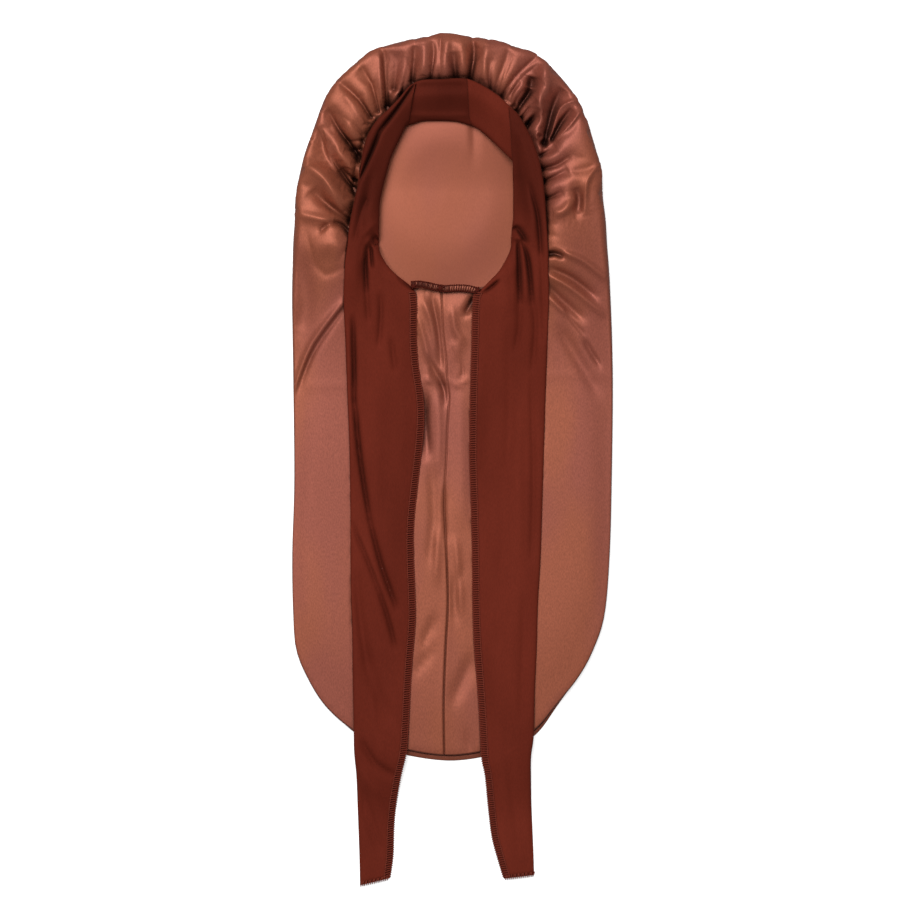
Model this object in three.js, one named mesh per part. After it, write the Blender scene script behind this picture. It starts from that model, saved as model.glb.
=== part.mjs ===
// Long satin sleep bonnet for braids, lying face up on a table as it does before it is put on.
// A satin bag is gathered round the face opening on to a folded jersey band, whose two ends run
// on as long ties. Millimetres, +Z up from the table, +Y from the tie ends towards the crown.
import * as THREE from "three";

// Driving dimensions.
const SATIN = 1.3; // wall of the satin bag where it lies smooth
const GATHERED_SATIN = 1.9; // wall of the bag where it is puckered into the band
const JERSEY = 1.8; // the band and ties are one strip folded double
const LAY_GAP = 0.6; // between a layer and the one that it lies on
const BACK_GAP = 0.5; // along a ray from the face, between the bag's front and its back
const FACE = { x: -7, y: 256 }; // the middle that the gathers run out from
const SEWN_RIM = { side: 88, up: 104, down: 91 }; // radii of the bag's sewn edge
const RIM_CORNERS = { up: 2, down: 3 }; // 2 is an ellipse, and more is squarer
const GATHERS = 36; // puckers round the whole rim
const COLUMNS = GATHERS * 4; // columns of faces round the bag, four to a pucker
const GATHER_HEIGHT = 2.4;
const GATHER_REACH = 26; // how far a pucker runs out before it has faded
const RIM_SHARE = 0.72; // height of the sewn rim, as a share of the puffed satin's
const RIM_SLOPE = 15; // how far from the rim the satin is still climbing
const EDGE_SHARE = 0.42; // height of the bag's outermost line, as a share of its puff
const OPENING_EDGE_HEIGHT = 14; // the strip's free edge hangs this high over the table
const OPENING_SLOPE = 30; // how far inside the rim the strip is still sloping down
const TIE_DROP = 70; // past the bag's foot a tie comes down to the table in this length
const STRIP_ROWS = 94; // rows of faces along the jersey strip
const PUFF = { pouch: 11.5, head: 37, middle: 170, blend: 50 }; // the top layer's height
const NAPE = { left: -35, right: 20, y: 161, width: 6, thick: 2, ribs: 10 };

// The bag seen from above: where its left and right edges lie, from the crown down.
const CROWN = { x: 0, y: 411 };
const OUTLINE = [
  { y: 400, left: -66, right: 62 },
  { y: 386, left: -91, right: 88 },
  { y: 357, left: -118, right: 115 },
  { y: 328, left: -131, right: 129 },
  { y: 285, left: -146, right: 142 },
  { y: 241, left: -152, right: 146 },
  { y: 169, left: -155, right: 152 },
  { y: 82, left: -154, right: 155 },
  { y: -19, left: -153, right: 154 },
  { y: -92, left: -155, right: 152 },
  { y: -150, left: -154, right: 147 },
  { y: -184, left: -151, right: 136 },
  { y: -213, left: -139, right: 121 },
  { y: -241, left: -121, right: 101 },
  { y: -266, left: -94, right: 78 },
  { y: -281, left: -52, right: 38 },
];
const FOOT = { x: -8, y: -287 };

// The main folds of the satin, each from its end at the band to its end near the outline.
// A ridge has a height over zero, and a valley one under it.
const SATIN_FOLDS = [
  { x0: -66, y0: 340, x1: -71, y1: 388, width: 5, height: 3 },
  { x0: -61, y0: 344, x1: -64, y1: 386, width: 5, height: -3.5 },
  { x0: -39, y0: 363, x1: -39, y1: 392, width: 5, height: -3.5 },
  { x0: -29, y0: 367, x1: -30, y1: 403, width: 7, height: 2 },
  { x0: 2, y0: 368, x1: 2, y1: 391, width: 4, height: -4 },
  { x0: 18, y0: 368, x1: 20, y1: 408, width: 4, height: -4.5 },
  { x0: 25, y0: 367, x1: 27, y1: 400, width: 6, height: 2.5 },
  { x0: 43, y0: 355, x1: 57, y1: 388, width: 5, height: -3.5 },
  { x0: 54, y0: 349, x1: 79, y1: 382, width: 5, height: -3.5 },
  { x0: 69, y0: 363, x1: 79, y1: 371, width: 9, height: -4.5 },
  { x0: 85, y0: 309, x1: 93, y1: 359, width: 8, height: 4 },
  { x0: 89, y0: 303, x1: 100, y1: 340, width: 6, height: -4.5 },
  { x0: 90, y0: 299, x1: 119, y1: 346, width: 5, height: 3.5 },
  { x0: 92, y0: 290, x1: 131, y1: 332, width: 6, height: 3 },
  { x0: 121, y0: 262, x1: 123, y1: 237, width: 9, height: -4 },
  { x0: 94, y0: 222, x1: 135, y1: 278, width: 7, height: 3 },
  { x0: 94, y0: 212, x1: 142, y1: 220, width: 8, height: -3 },
  { x0: 96, y0: 209, x1: 154, y1: 154, width: 7, height: 3 },
  { x0: 94, y0: 191, x1: 148, y1: 149, width: 9, height: -3 },
  { x0: 100, y0: 154, x1: 144, y1: 95, width: 6, height: -3 },
  { x0: 93, y0: 158, x1: 154, y1: 62, width: 7, height: 2.5 },
  { x0: -97, y0: 264, x1: -130, y1: 320, width: 7, height: -4.5 },
  { x0: -99, y0: 272, x1: -114, y1: 340, width: 9, height: 3 },
  { x0: -102, y0: 237, x1: -134, y1: 259, width: 8, height: -4 },
  { x0: -105, y0: 230, x1: -151, y1: 239, width: 6, height: 2.5 },
  { x0: -102, y0: 223, x1: -126, y1: 221, width: 5, height: -4.5 },
  { x0: -106, y0: 150, x1: -147, y1: 83, width: 7, height: 3 },
  { x0: -105, y0: 139, x1: -147, y1: 73, width: 8, height: -3.5 },
  { x0: -78, y0: 336, x1: -109, y1: 351, width: 6, height: -3 },
  { x0: -74, y0: 344, x1: -99, y1: 371, width: 8, height: 3 },
];

// The jersey strip seen from above: where its inner and outer edges lie, from the left tie's
// end up to the face opening, round the opening, and down to the right tie's end.
const STRIP = [
  { innerX: -58, innerY: -403, outerX: -89, outerY: -410 },
  { innerX: -56, innerY: -367, outerX: -91, outerY: -367 },
  { innerX: -52, innerY: -309, outerX: -93, outerY: -309 },
  { innerX: -44, innerY: -270, outerX: -95, outerY: -270 },
  { innerX: -37, innerY: -193, outerX: -98, outerY: -193 },
  { innerX: -37, innerY: -77, outerX: -98, outerY: -77 },
  { innerX: -31, innerY: 39, outerX: -102, outerY: 39 },
  { innerX: -30, innerY: 116, outerX: -106, outerY: 116 },
  { innerX: -33, innerY: 154, outerX: -107, outerY: 154 },
  { innerX: -50, innerY: 178, outerX: -107, outerY: 185 },
  { innerX: -65, innerY: 197, outerX: -105, outerY: 204 },
  { innerX: -71, innerY: 222, outerX: -102, outerY: 229 },
  { innerX: -69, innerY: 251, outerX: -99, outerY: 256 },
  { innerX: -63, innerY: 279, outerX: -94, outerY: 290 },
  { innerX: -51, innerY: 308, outerX: -80, outerY: 326 },
  { innerX: -32, innerY: 325, outerX: -54, outerY: 356 },
  { innerX: -9, innerY: 328, outerX: -18, outerY: 367 },
  { innerX: 14, innerY: 326, outerX: 18, outerY: 365 },
  { innerX: 35, innerY: 313, outerX: 46, outerY: 352 },
  { innerX: 51, innerY: 296, outerX: 68, outerY: 330 },
  { innerX: 57, innerY: 274, outerX: 82, outerY: 297 },
  { innerX: 58, innerY: 250, outerX: 90, outerY: 260 },
  { innerX: 59, innerY: 222, outerX: 94, outerY: 227 },
  { innerX: 53, innerY: 195, outerX: 95, outerY: 202 },
  { innerX: 38, innerY: 177, outerX: 95, outerY: 183 },
  { innerX: 18, innerY: 154, outerX: 93, outerY: 154 },
  { innerX: 16, innerY: 116, outerX: 91, outerY: 116 },
  { innerX: 16, innerY: 39, outerX: 89, outerY: 39 },
  { innerX: 17, innerY: -77, outerX: 85, outerY: -77 },
  { innerX: 18, innerY: -193, outerX: 81, outerY: -193 },
  { innerX: 27, innerY: -270, outerX: 77, outerY: -270 },
  { innerX: 34, innerY: -328, outerX: 75, outerY: -328 },
  { innerX: 41, innerY: -376, outerX: 77, outerY: -376 },
  { innerX: 46, innerY: -405, outerX: 80, outerY: -401 },
];

// Where the strip doubles over itself above the face: the direction of the fold line from the
// middle of the face, in degrees from +X, at the strip's inner and outer edge, and how much
// higher the strip lies from there on.
const PLEATS = [
  { inner: 24, outer: 48, step: -2 },
  { inner: 73, outer: 78, step: -3 },
  { inner: 122, outer: 106, step: 5 },
];

// The soft ridges of the strip, in the same form as the satin's folds.
const STRIP_FOLDS = [
  { x0: -47, y0: 352, x1: -84, y1: 308, width: 5, height: 1.6 },
  { x0: -84, y0: 308, x1: -99, y1: 238, width: 5, height: 1.6 },
  { x0: -74, y0: 205, x1: -90, y1: 150, width: 6, height: 2.2 },
  { x0: -66, y0: 190, x1: -58, y1: 100, width: 8, height: 1.8 },
  { x0: -98, y0: 0, x1: -77, y1: -96, width: 9, height: 1.6 },
  { x0: -77, y0: -96, x1: -50, y1: -174, width: 9, height: 1.4 },
  { x0: 66, y0: 205, x1: 80, y1: 150, width: 6, height: 2.2 },
  { x0: 58, y0: 190, x1: 44, y1: 110, width: 8, height: 1.8 },
  { x0: 74, y0: 40, x1: 66, y1: -120, width: 9, height: 1.4 },
  { x0: 31, y0: -60, x1: 38, y1: -200, width: 8, height: 1.2 },
];

const lerp = (a, b, t) => a + (b - a) * t;
const clamp01 = (t) => Math.min(1, Math.max(0, t));
const smooth = (t) => clamp01(t) ** 2 * (3 - 2 * clamp01(t));
const radians = THREE.MathUtils.degToRad;

// How high the bag's top layer puffs over the table at y: flat in the pouch, full at the head.
const puffAt = (y) =>
  lerp(PUFF.pouch, PUFF.head, 0.5 + 0.5 * Math.tanh((y - PUFF.middle) / PUFF.blend));

// The bag's outline as a closed run of short straight stretches.
function outlineLoop(count) {
  const right = OUTLINE.map((row) => new THREE.Vector3(row.right, row.y, 0));
  const left = OUTLINE.map((row) => new THREE.Vector3(row.left, row.y, 0)).reverse();
  const crown = new THREE.Vector3(CROWN.x, CROWN.y, 0);
  const foot = new THREE.Vector3(FOOT.x, FOOT.y, 0);
  return new THREE.CatmullRomCurve3([crown, ...right, foot, ...left], true).getPoints(count);
}
const LOOP = outlineLoop(720);

// How far the outline is from the middle of the face, in one direction.
function outlineRadius(angle) {
  const [dx, dy] = [Math.cos(angle), Math.sin(angle)];
  const side = (p) => dx * (p.y - FACE.y) - dy * (p.x - FACE.x);
  for (let i = 0; i + 1 < LOOP.length; i++) {
    const [a, b] = [LOOP[i], LOOP[i + 1]];
    const [sa, sb] = [side(a), side(b)];
    if (sa * sb > 0 || sa === sb) continue;
    const hit = a.clone().lerp(b, sa / (sa - sb));
    const radius = dx * (hit.x - FACE.x) + dy * (hit.y - FACE.y);
    if (radius > 0) return radius;
  }
  throw new Error("the outline is open");
}

// How far the bag's sewn edge is from the middle of the face, in one direction.
function rimRadius(angle) {
  const half = Math.sin(angle) > 0 ? "up" : "down";
  const power = RIM_CORNERS[half];
  const across = Math.abs(Math.cos(angle) / SEWN_RIM.side) ** power;
  const along = Math.abs(Math.sin(angle) / SEWN_RIM[half]) ** power;
  return (across + along) ** (-1 / power);
}

const place = (angle, radius) => ({
  x: FACE.x + radius * Math.cos(angle),
  y: FACE.y + radius * Math.sin(angle),
  angle,
  radius,
});
const placeOf = (x, y) =>
  place(Math.atan2(y - FACE.y, x - FACE.x), Math.hypot(y - FACE.y, x - FACE.x));

// The jersey strip's two edges, as smooth lines through the rows of its table.
const edgeLine = (edge) =>
  new THREE.CatmullRomCurve3(
    STRIP.map((row) => new THREE.Vector3(row[`${edge}X`], row[`${edge}Y`], 0)),
  );
const [INNER_EDGE, OUTER_EDGE] = [edgeLine("inner"), edgeLine("outer")];

// 1 under a tie, falling to 0 just outside it: the ties press the folds under them flat.
const TIE_ROWS = STRIP.filter((row) => row.innerY < 200);
function underTies(x, y) {
  const fade = 10;
  const under = (rows) => {
    const k = rows.findIndex((row) => row.outerY < y);
    const row = k < 0 ? rows[0] : rows[k];
    const above = rows[Math.max(0, k - 1)];
    const t = clamp01((y - row.outerY) / Math.max(1, above.outerY - row.outerY));
    const [a, b] = [lerp(row.innerX, above.innerX, t), lerp(row.outerX, above.outerX, t)];
    return smooth((Math.min(x - Math.min(a, b), Math.max(a, b) - x) + fade) / fade);
  };
  const left = TIE_ROWS.filter((row) => row.outerX < 0).reverse();
  const right = TIE_ROWS.filter((row) => row.outerX > 0);
  return Math.max(under(left), under(right)) * smooth((left[0].outerY + fade - y) / fade);
}

// The rise of one fold at a point.
function foldRise(fold, x, y) {
  const [ux, uy] = [fold.x1 - fold.x0, fold.y1 - fold.y0];
  const length = Math.hypot(ux, uy);
  const along = ((x - fold.x0) * ux + (y - fold.y0) * uy) / length;
  const across = ((x - fold.x0) * uy - (y - fold.y0) * ux) / length;
  const past = Math.max(0, -along, along - length) / fold.width;
  return fold.height * Math.exp(-((across / fold.width) ** 2) - past ** 2);
}

// How much the satin stands proud of its smooth shape: puckers at the rim, and main folds.
function satinFolds({ x, y, angle, radius }) {
  const fromRim = Math.max(0, radius - rimRadius(angle));
  const turns = (angle / (2 * Math.PI)) * GATHERS;
  const uneven = 0.75 + 0.25 * Math.sin(Math.round(turns) * 2.4);
  const fading = Math.exp(-fromRim / GATHER_REACH);
  const pucker = GATHER_HEIGHT * uneven * fading * Math.cos(2 * Math.PI * turns);
  const main = SATIN_FOLDS.reduce((sum, fold) => sum + foldRise(fold, x, y), 0);
  const sewn = smooth(0.2 + fromRim / RIM_SLOPE);
  return (pucker + main * sewn) * (1 - 0.9 * underTies(x, y));
}

// The smooth height of the bag's top layer, before its folds and away from its edge.
function puffHeight({ y, angle, radius }) {
  const fromRim = Math.max(0, radius - rimRadius(angle));
  const rise = 1 - Math.exp(-((fromRim / RIM_SLOPE) ** 2));
  return puffAt(y) * lerp(RIM_SHARE, 1, rise);
}

// The bag's section in one direction, from the sewn rim over the top, round the outermost line
// and on to the table. lean is how far its wall has turned over, in degrees.
function bagStations(angle) {
  const [rim, edge] = [rimRadius(angle), outlineRadius(angle)];
  const round = Math.min(0.6 * puffAt(place(angle, edge).y), (edge - rim) / 3);
  const flat = 8;
  const top = Array.from({ length: flat + 1 }, (_, i) => {
    const share = lerp(0.25, 1, i / flat) * (i / flat);
    const at = place(angle, rim + (edge - rim - round) * share);
    return { ...at, height: puffHeight(at), lean: 0 };
  });
  const turned = [40, 90, 135, 180].map((lean) => {
    const short = round * (1 - Math.sin(radians(lean))) * (lean > 90 ? 0.35 : 1);
    const at = place(angle, edge - short);
    const [puff, turn] = [puffHeight(at), Math.cos(radians(lean))];
    const middle = EDGE_SHARE * puff;
    return { ...at, height: lerp(middle, lean > 90 ? 0 : puff, Math.abs(turn)), lean };
  });
  return [...top, ...turned];
}

// A point of the bag's wall: its outer face at depth 0, and its inner face at depth 1.
function bagPoint(at, depth) {
  const tilt = radians(at.lean);
  const nearRim = Math.exp(-(at.radius - rimRadius(at.angle)) / GATHER_REACH);
  const wall = lerp(SATIN, GATHERED_SATIN, nearRim);
  const folds = at.lean > 100 ? 0 : satinFolds(at) * (1 - 0.6 * Math.sin(tilt));
  const out = folds * lerp(1, 0.75, depth) - wall * depth;
  const { x, y } = place(at.angle, at.radius + out * Math.sin(tilt));
  return new THREE.Vector3(x, y, at.height + out * Math.cos(tilt));
}

// Collects faces between numbered corners, so that neighbours share their corners.
class Skin {
  positions = [];
  faces = [];
  add(point) {
    return this.positions.push(point.x, point.y, point.z) / 3 - 1;
  }
  quad(a, b, c, d) {
    this.faces.push(a, b, c, a, c, d);
  }
  geometry() {
    const made = new THREE.BufferGeometry();
    made.setAttribute("position", new THREE.Float32BufferAttribute(this.positions, 3));
    made.setIndex(this.faces);
    made.computeVertexNormals();
    return made;
  }
}

const ANGLES = Array.from({ length: COLUMNS }, (_, i) => (2 * Math.PI * i) / COLUMNS);

// The bag's front: outer and inner walls, joined at the sewn rim and where it meets the back.
function bagFrontGeometry() {
  const skin = new Skin();
  const [outer, inner] = [0, 1].map((depth) =>
    ANGLES.map((angle) => bagStations(angle).map((at) => skin.add(bagPoint(at, depth)))),
  );
  const last = outer[0].length - 1;
  outer.forEach((column, i) => {
    const next = (i + 1) % COLUMNS;
    for (let j = 0; j < last; j++) {
      skin.quad(column[j], column[j + 1], outer[next][j + 1], outer[next][j]);
      skin.quad(inner[i][j], inner[next][j], inner[next][j + 1], inner[i][j + 1]);
    }
    skin.quad(column[0], outer[next][0], inner[next][0], inner[i][0]);
    skin.quad(outer[next][last], column[last], inner[i][last], inner[next][last]);
  });
  return skin.geometry();
}

// The bag's back: it lies flat on the table, and fills the ring where the front comes down.
function bagBackGeometry() {
  const edge = ANGLES.map((angle) => place(angle, bagStations(angle).at(-1).radius - BACK_GAP));
  const outline = new THREE.Shape(edge.map(({ x, y }) => new THREE.Vector2(x, y)));
  return new THREE.ExtrudeGeometry(outline, { depth: SATIN, bevelEnabled: false });
}

// A sheet of cloth, closed along its four edges. point(u, v, depth) gives its corners, with u
// across the sheet and v along it from 0 to 1, and depth 0 on its upper face and 1 on its
// lower one. u, v and up are right-handed.
function sheetGeometry(across, along, point) {
  const skin = new Skin();
  const [top, under] = [0, 1].map((depth) =>
    Array.from({ length: across + 1 }, (_, i) =>
      Array.from({ length: along + 1 }, (_, j) => skin.add(point(i / across, j / along, depth))),
    ),
  );
  for (let i = 0; i < across; i++) {
    for (let j = 0; j < along; j++) {
      skin.quad(top[i][j], top[i + 1][j], top[i + 1][j + 1], top[i][j + 1]);
      skin.quad(under[i][j], under[i][j + 1], under[i + 1][j + 1], under[i + 1][j]);
    }
    skin.quad(top[i + 1][0], top[i][0], under[i][0], under[i + 1][0]);
    skin.quad(top[i][along], top[i + 1][along], under[i + 1][along], under[i][along]);
  }
  for (let j = 0; j < along; j++) {
    skin.quad(top[0][j], top[0][j + 1], under[0][j + 1], under[0][j]);
    skin.quad(top[across][j + 1], top[across][j], under[across][j], under[across][j + 1]);
  }
  return skin.geometry();
}

// The height of the jersey strip's underside: it lies on the satin, slopes down inside the
// sewn rim, and comes down to the table past the bag's foot.
function stripHeight(at) {
  const onSatin = puffHeight(at) + Math.max(0, satinFolds(at)) + LAY_GAP;
  const bunched = GATHER_HEIGHT * Math.exp(-(((at.radius - rimRadius(at.angle)) / 15) ** 2));
  const inward = smooth((rimRadius(at.angle) - at.radius) / OPENING_SLOPE);
  const past = smooth((at.radius - outlineRadius(at.angle)) / TIE_DROP);
  const lying = onSatin + bunched * (1 - 0.5 * underTies(at.x, at.y));
  return lerp(lerp(lying, OPENING_EDGE_HEIGHT, inward), 0, past);
}

// The jersey strip: the band round the face and the two ties that it runs on as.
function stripGeometry() {
  return sheetGeometry(8, STRIP_ROWS, (u, v, depth) => {
    const outer = OUTER_EDGE.getPoint(v);
    const inner = INNER_EDGE.getPoint(v);
    const at = placeOf(lerp(outer.x, inner.x, u), lerp(outer.y, inner.y, u));
    const degrees = THREE.MathUtils.euclideanModulo(THREE.MathUtils.radToDeg(at.angle) + 90, 360);
    const stepped = PLEATS.reduce((sum, pleat) => {
      const line = lerp(pleat.outer, pleat.inner, u) + 90;
      return sum + pleat.step * smooth((degrees - line) / 4 + 0.5);
    }, 0);
    const ridges = STRIP_FOLDS.reduce((sum, fold) => sum + foldRise(fold, at.x, at.y), 0);
    const free = smooth((u - 0.3) / 0.4); // the outer edge of the band is sewn down
    const lift = ridges + stepped * free;
    return new THREE.Vector3(at.x, at.y, stripHeight(at) + lift + JERSEY * (1 - depth));
  });
}

// The gathered casing of the elastic at the nape, along the rim between the two ties.
function napeGeometry() {
  return sheetGeometry(NAPE.ribs * 2, 3, (u, v, depth) => {
    const x = lerp(NAPE.left, NAPE.right, u);
    const at = placeOf(x, NAPE.y + NAPE.width * (v - 0.5));
    const rib = 0.3 * Math.cos(2 * Math.PI * NAPE.ribs * u) * Math.sin(Math.PI * v);
    const seat = puffHeight(at) + GATHER_HEIGHT * (1 - underTies(at.x, at.y)) + LAY_GAP;
    return new THREE.Vector3(at.x, at.y, seat + (NAPE.thick + rib) * (1 - depth));
  });
}

const bonnet = new THREE.Group();
const satin = new THREE.MeshStandardMaterial({ color: 0xa05f4b, roughness: 0.4, metalness: 0 });
const jersey = new THREE.MeshStandardMaterial({ color: 0x66281c, roughness: 0.8, metalness: 0 });

function addPiece(name, geometry, material) {
  const mesh = new THREE.Mesh(geometry, material.clone());
  mesh.name = name;
  bonnet.add(mesh);
}

addPiece("bag_back", bagBackGeometry(), satin);
addPiece("bag_front", bagFrontGeometry(), satin);
addPiece("tie_band", stripGeometry(), jersey);
addPiece("nape_elastic", napeGeometry(), satin);

// The origin is on the table, in the middle of the whole piece.
const bounds = new THREE.Box3().setFromObject(bonnet);
const middle = bounds.getCenter(new THREE.Vector3());
bonnet.position.set(-middle.x, -middle.y, -bounds.min.z);

export default bonnet;
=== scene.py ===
"""The looks of a long satin sleep bonnet that lies face up on a pale table.

The front of the satin bag starts as a smooth form with its folds. It is let out as cloth in a short
simulation, in which the gathers round the face opening settle, and then it is made finer and
creased. The jersey band and its ties, the overlock stitches, the nape casing and the back of the
bag are modelled directly.
Lengths are millimetres, in a frame whose zero lies between the ties, until mesh_object moves a
piece into the part's own frame, which is in metres.
"""

import math

import bpy
import numpy as np
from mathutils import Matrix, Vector
from mathutils.bvhtree import BVHTree


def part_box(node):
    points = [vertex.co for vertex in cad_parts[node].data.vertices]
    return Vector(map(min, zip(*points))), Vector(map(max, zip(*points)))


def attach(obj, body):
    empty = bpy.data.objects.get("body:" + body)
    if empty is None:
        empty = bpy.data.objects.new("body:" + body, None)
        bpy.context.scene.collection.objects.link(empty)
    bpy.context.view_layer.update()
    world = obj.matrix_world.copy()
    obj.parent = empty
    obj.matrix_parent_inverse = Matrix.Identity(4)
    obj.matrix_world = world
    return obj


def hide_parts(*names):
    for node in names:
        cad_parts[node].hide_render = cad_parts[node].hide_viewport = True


MM = 0.001

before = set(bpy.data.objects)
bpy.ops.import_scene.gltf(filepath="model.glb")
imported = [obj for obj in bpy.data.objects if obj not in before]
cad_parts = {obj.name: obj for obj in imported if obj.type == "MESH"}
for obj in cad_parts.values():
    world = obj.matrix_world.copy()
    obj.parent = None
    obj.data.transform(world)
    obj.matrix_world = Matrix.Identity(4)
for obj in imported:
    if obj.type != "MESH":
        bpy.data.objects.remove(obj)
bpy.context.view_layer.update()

# The tables' zero lies this far from the left side and the lower end of the part's jersey strip.
ZERO_ACROSS, ZERO_UP = 107.2, 410.0
strip_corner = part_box("tie_band")[0]
SHIFT = np.array([strip_corner[0] / MM + ZERO_ACROSS, strip_corner[1] / MM + ZERO_UP, 0.0])

# The bag's main sizes. Its gathers rise above these heights, which are a little lower than the
# source's for that reason.
FACE = np.array([-7.0, 256.0])  # the middle that the gathers run out from
RIM_SIDE, RIM_UP, RIM_DOWN = 88.0, 104.0, 91.0  # from there to the sewn edge
PUFF_POUCH, PUFF_HEAD = 11.5, 32.0  # how high the bag lies over its foot and over its head end
PUFF_MIDDLE, PUFF_BLEND = 170.0, 60.0  # the y where one becomes the other, and how gradually
RIM_SHARE, RIM_SLOPE = 0.72, 15.0  # the share of that height at the sewn edge, and its slope's run
OPENING_EDGE_HEIGHT, OPENING_SLOPE = 11.5, 30.0  # the band sinks to this inside the sewn edge
TIE_DROP = 70.0  # how far past the bag's edge a tie comes down to the table
LAY_GAP = 0.6
BUNCH_HEIGHT, BUNCH_REACH = 1.44, 15.0  # how far the gathers lift the strip at the sewn edge
JERSEY = 2.0  # the strip's two layers together

# Degrees from the crown: where the gathers round the face end, and where the nape starts.
GATHERS_END, GATHERS_FADE, NAPE_START = 112.0, 20.0, 118.0

# The bag seen from above: y, and where its left and right edges lie.
CROWN_TOP = (0.0, 409.5)
OUTLINE = (
    (398.5, -66, 62),
    (386, -91, 88),
    (357, -118, 115),
    (328, -131, 129),
    (285, -146, 142),
    (241, -152, 146),
    (169, -155, 152),
    (82, -154, 155),
    (-19, -153, 154),
    (-92, -155, 152),
    (-150, -154, 147),
    (-184, -151, 136),
    (-213, -139, 121),
    (-241, -121, 101),
    (-266, -95, 81),
    (-281.5, -64, 54),
)
FOOT = (-2.0, -291.5)

# The jersey strip lies folded over itself in four lengths. Each row has a point of the length's
# inner edge and the one across from it on its outer edge, each as x and y.
LEFT_EDGES = (
    ((-60.5, -404.5), (-89.5, -411.5)),
    ((-57.5, -383), (-90, -386)),
    ((-56.5, -353), (-91, -357)),
    ((-54, -329), (-92, -331)),
    ((-49.5, -304), (-93, -304)),
    ((-44.5, -282), (-95, -282)),
    ((-42.5, -255.5), (-95.5, -255.5)),
    ((-39.5, -202.5), (-96.5, -202.5)),
    ((-36, -159), (-97, -159)),
    ((-36, -135), (-98, -133)),
    ((-37.5, -91.5), (-98.5, -91.5)),
    ((-37, -60), (-98.5, -58)),
    ((-33, -19.5), (-99, -19.5)),
    ((-29.5, 11.5), (-99.5, 11.5)),
    ((-27.5, 38.5), (-100.5, 38.5)),
    ((-28.5, 62), (-101.5, 62)),
    ((-32.5, 89), (-102.5, 89)),
    ((-34.5, 116), (-103.5, 117.5)),
    ((-34.5, 149.5), (-105, 148.5)),
    ((-36.5, 163), (-105, 163)),
    ((-44, 171), (-104.5, 172.5)),
    ((-52, 177), (-104, 183.5)),
    ((-59.5, 184), (-103.5, 194)),
    ((-65.5, 192), (-102, 205.5)),
    ((-70.5, 202.5), (-100.5, 218)),
    ((-71, 216), (-99, 227.5)),
    ((-70.5, 233.5), (-96.5, 241)),
    ((-70, 248), (-93.5, 254)),
    ((-67, 263.5), (-89.5, 269)),
    ((-63.5, 277), (-82.5, 286.5)),
    ((-59, 292.5), (-75.5, 301)),
    ((-53.5, 304.5), (-69, 315.5)),
    ((-49, 313.5), (-60, 328)),
    ((-46.5, 319), (-50.5, 341)),
    ((-44.5, 322.5), (-42.5, 352.5)),
    ((-42, 325), (-35.5, 362)),
)
CROWN_EDGES = (
    ((-85.5, 266.5), (-91.5, 264.5)),
    ((-76.5, 283.5), (-88.5, 282.5)),
    ((-66, 301), (-86, 299)),
    ((-55.5, 312.5), (-81, 314.5)),
    ((-48, 319.5), (-72, 328)),
    ((-43, 323), (-64, 335.5)),
    ((-38, 324.5), (-52.5, 347)),
    ((-29.5, 327), (-41, 360)),
    ((-17, 327.5), (-29.5, 365.5)),
    ((-0.5, 327), (-11, 366.5)),
    ((10, 325), (10, 367)),
    ((24.5, 319.5), (26.5, 362)),
    ((40, 306), (46, 349.5)),
)
FLAP_EDGES = (
    ((16.5, 326.5), (14, 366.5)),
    ((20, 322), (20.5, 364)),
    ((26.5, 318), (28.5, 360)),
    ((34.5, 311.5), (37.5, 354.5)),
    ((43, 303), (47, 347.5)),
    ((51.5, 294.5), (55, 340)),
    ((59.5, 286.5), (63, 332.5)),
)
RIGHT_EDGES = (
    ((57.5, 290), (54, 339)),
    ((58, 283.5), (61.5, 334)),
    ((58, 275), (69, 322.5)),
    ((58.5, 264.5), (77, 307)),
    ((58.5, 254), (83, 289.5)),
    ((58.5, 244), (86.5, 273)),
    ((58.5, 234.5), (88.5, 257.5)),
    ((57.5, 225), (90, 241)),
    ((56.5, 214), (91, 226)),
    ((56, 204.5), (92, 211.5)),
    ((51.5, 193.5), (92.5, 197)),
    ((44.5, 182), (92.5, 182.5)),
    ((35, 172), (93, 169)),
    ((27.5, 164.5), (93, 158.5)),
    ((21.5, 160.5), (93, 148.5)),
    ((19.5, 150.5), (92.5, 139)),
    ((18.5, 111), (91.5, 106)),
    ((17, 62), (90, 62)),
    ((16.5, 29), (89, 29)),
    ((16.5, -5), (88, -5)),
    ((18, -52), (86.5, -52)),
    ((19, -96.5), (85, -96.5)),
    ((19.5, -141), (82.5, -141)),
    ((21, -179.5), (81.5, -179.5)),
    ((24, -218), (79.5, -222)),
    ((26.5, -255.5), (78.5, -265.5)),
    ((28, -286.5), (76, -286.5)),
    ((31.5, -305), (76, -309)),
    ((34.5, -335), (76.5, -334)),
    ((38, -364), (77.5, -359)),
    ((44, -387), (78.5, -384)),
    ((49.5, -405), (79, -401.5)),
)

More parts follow.
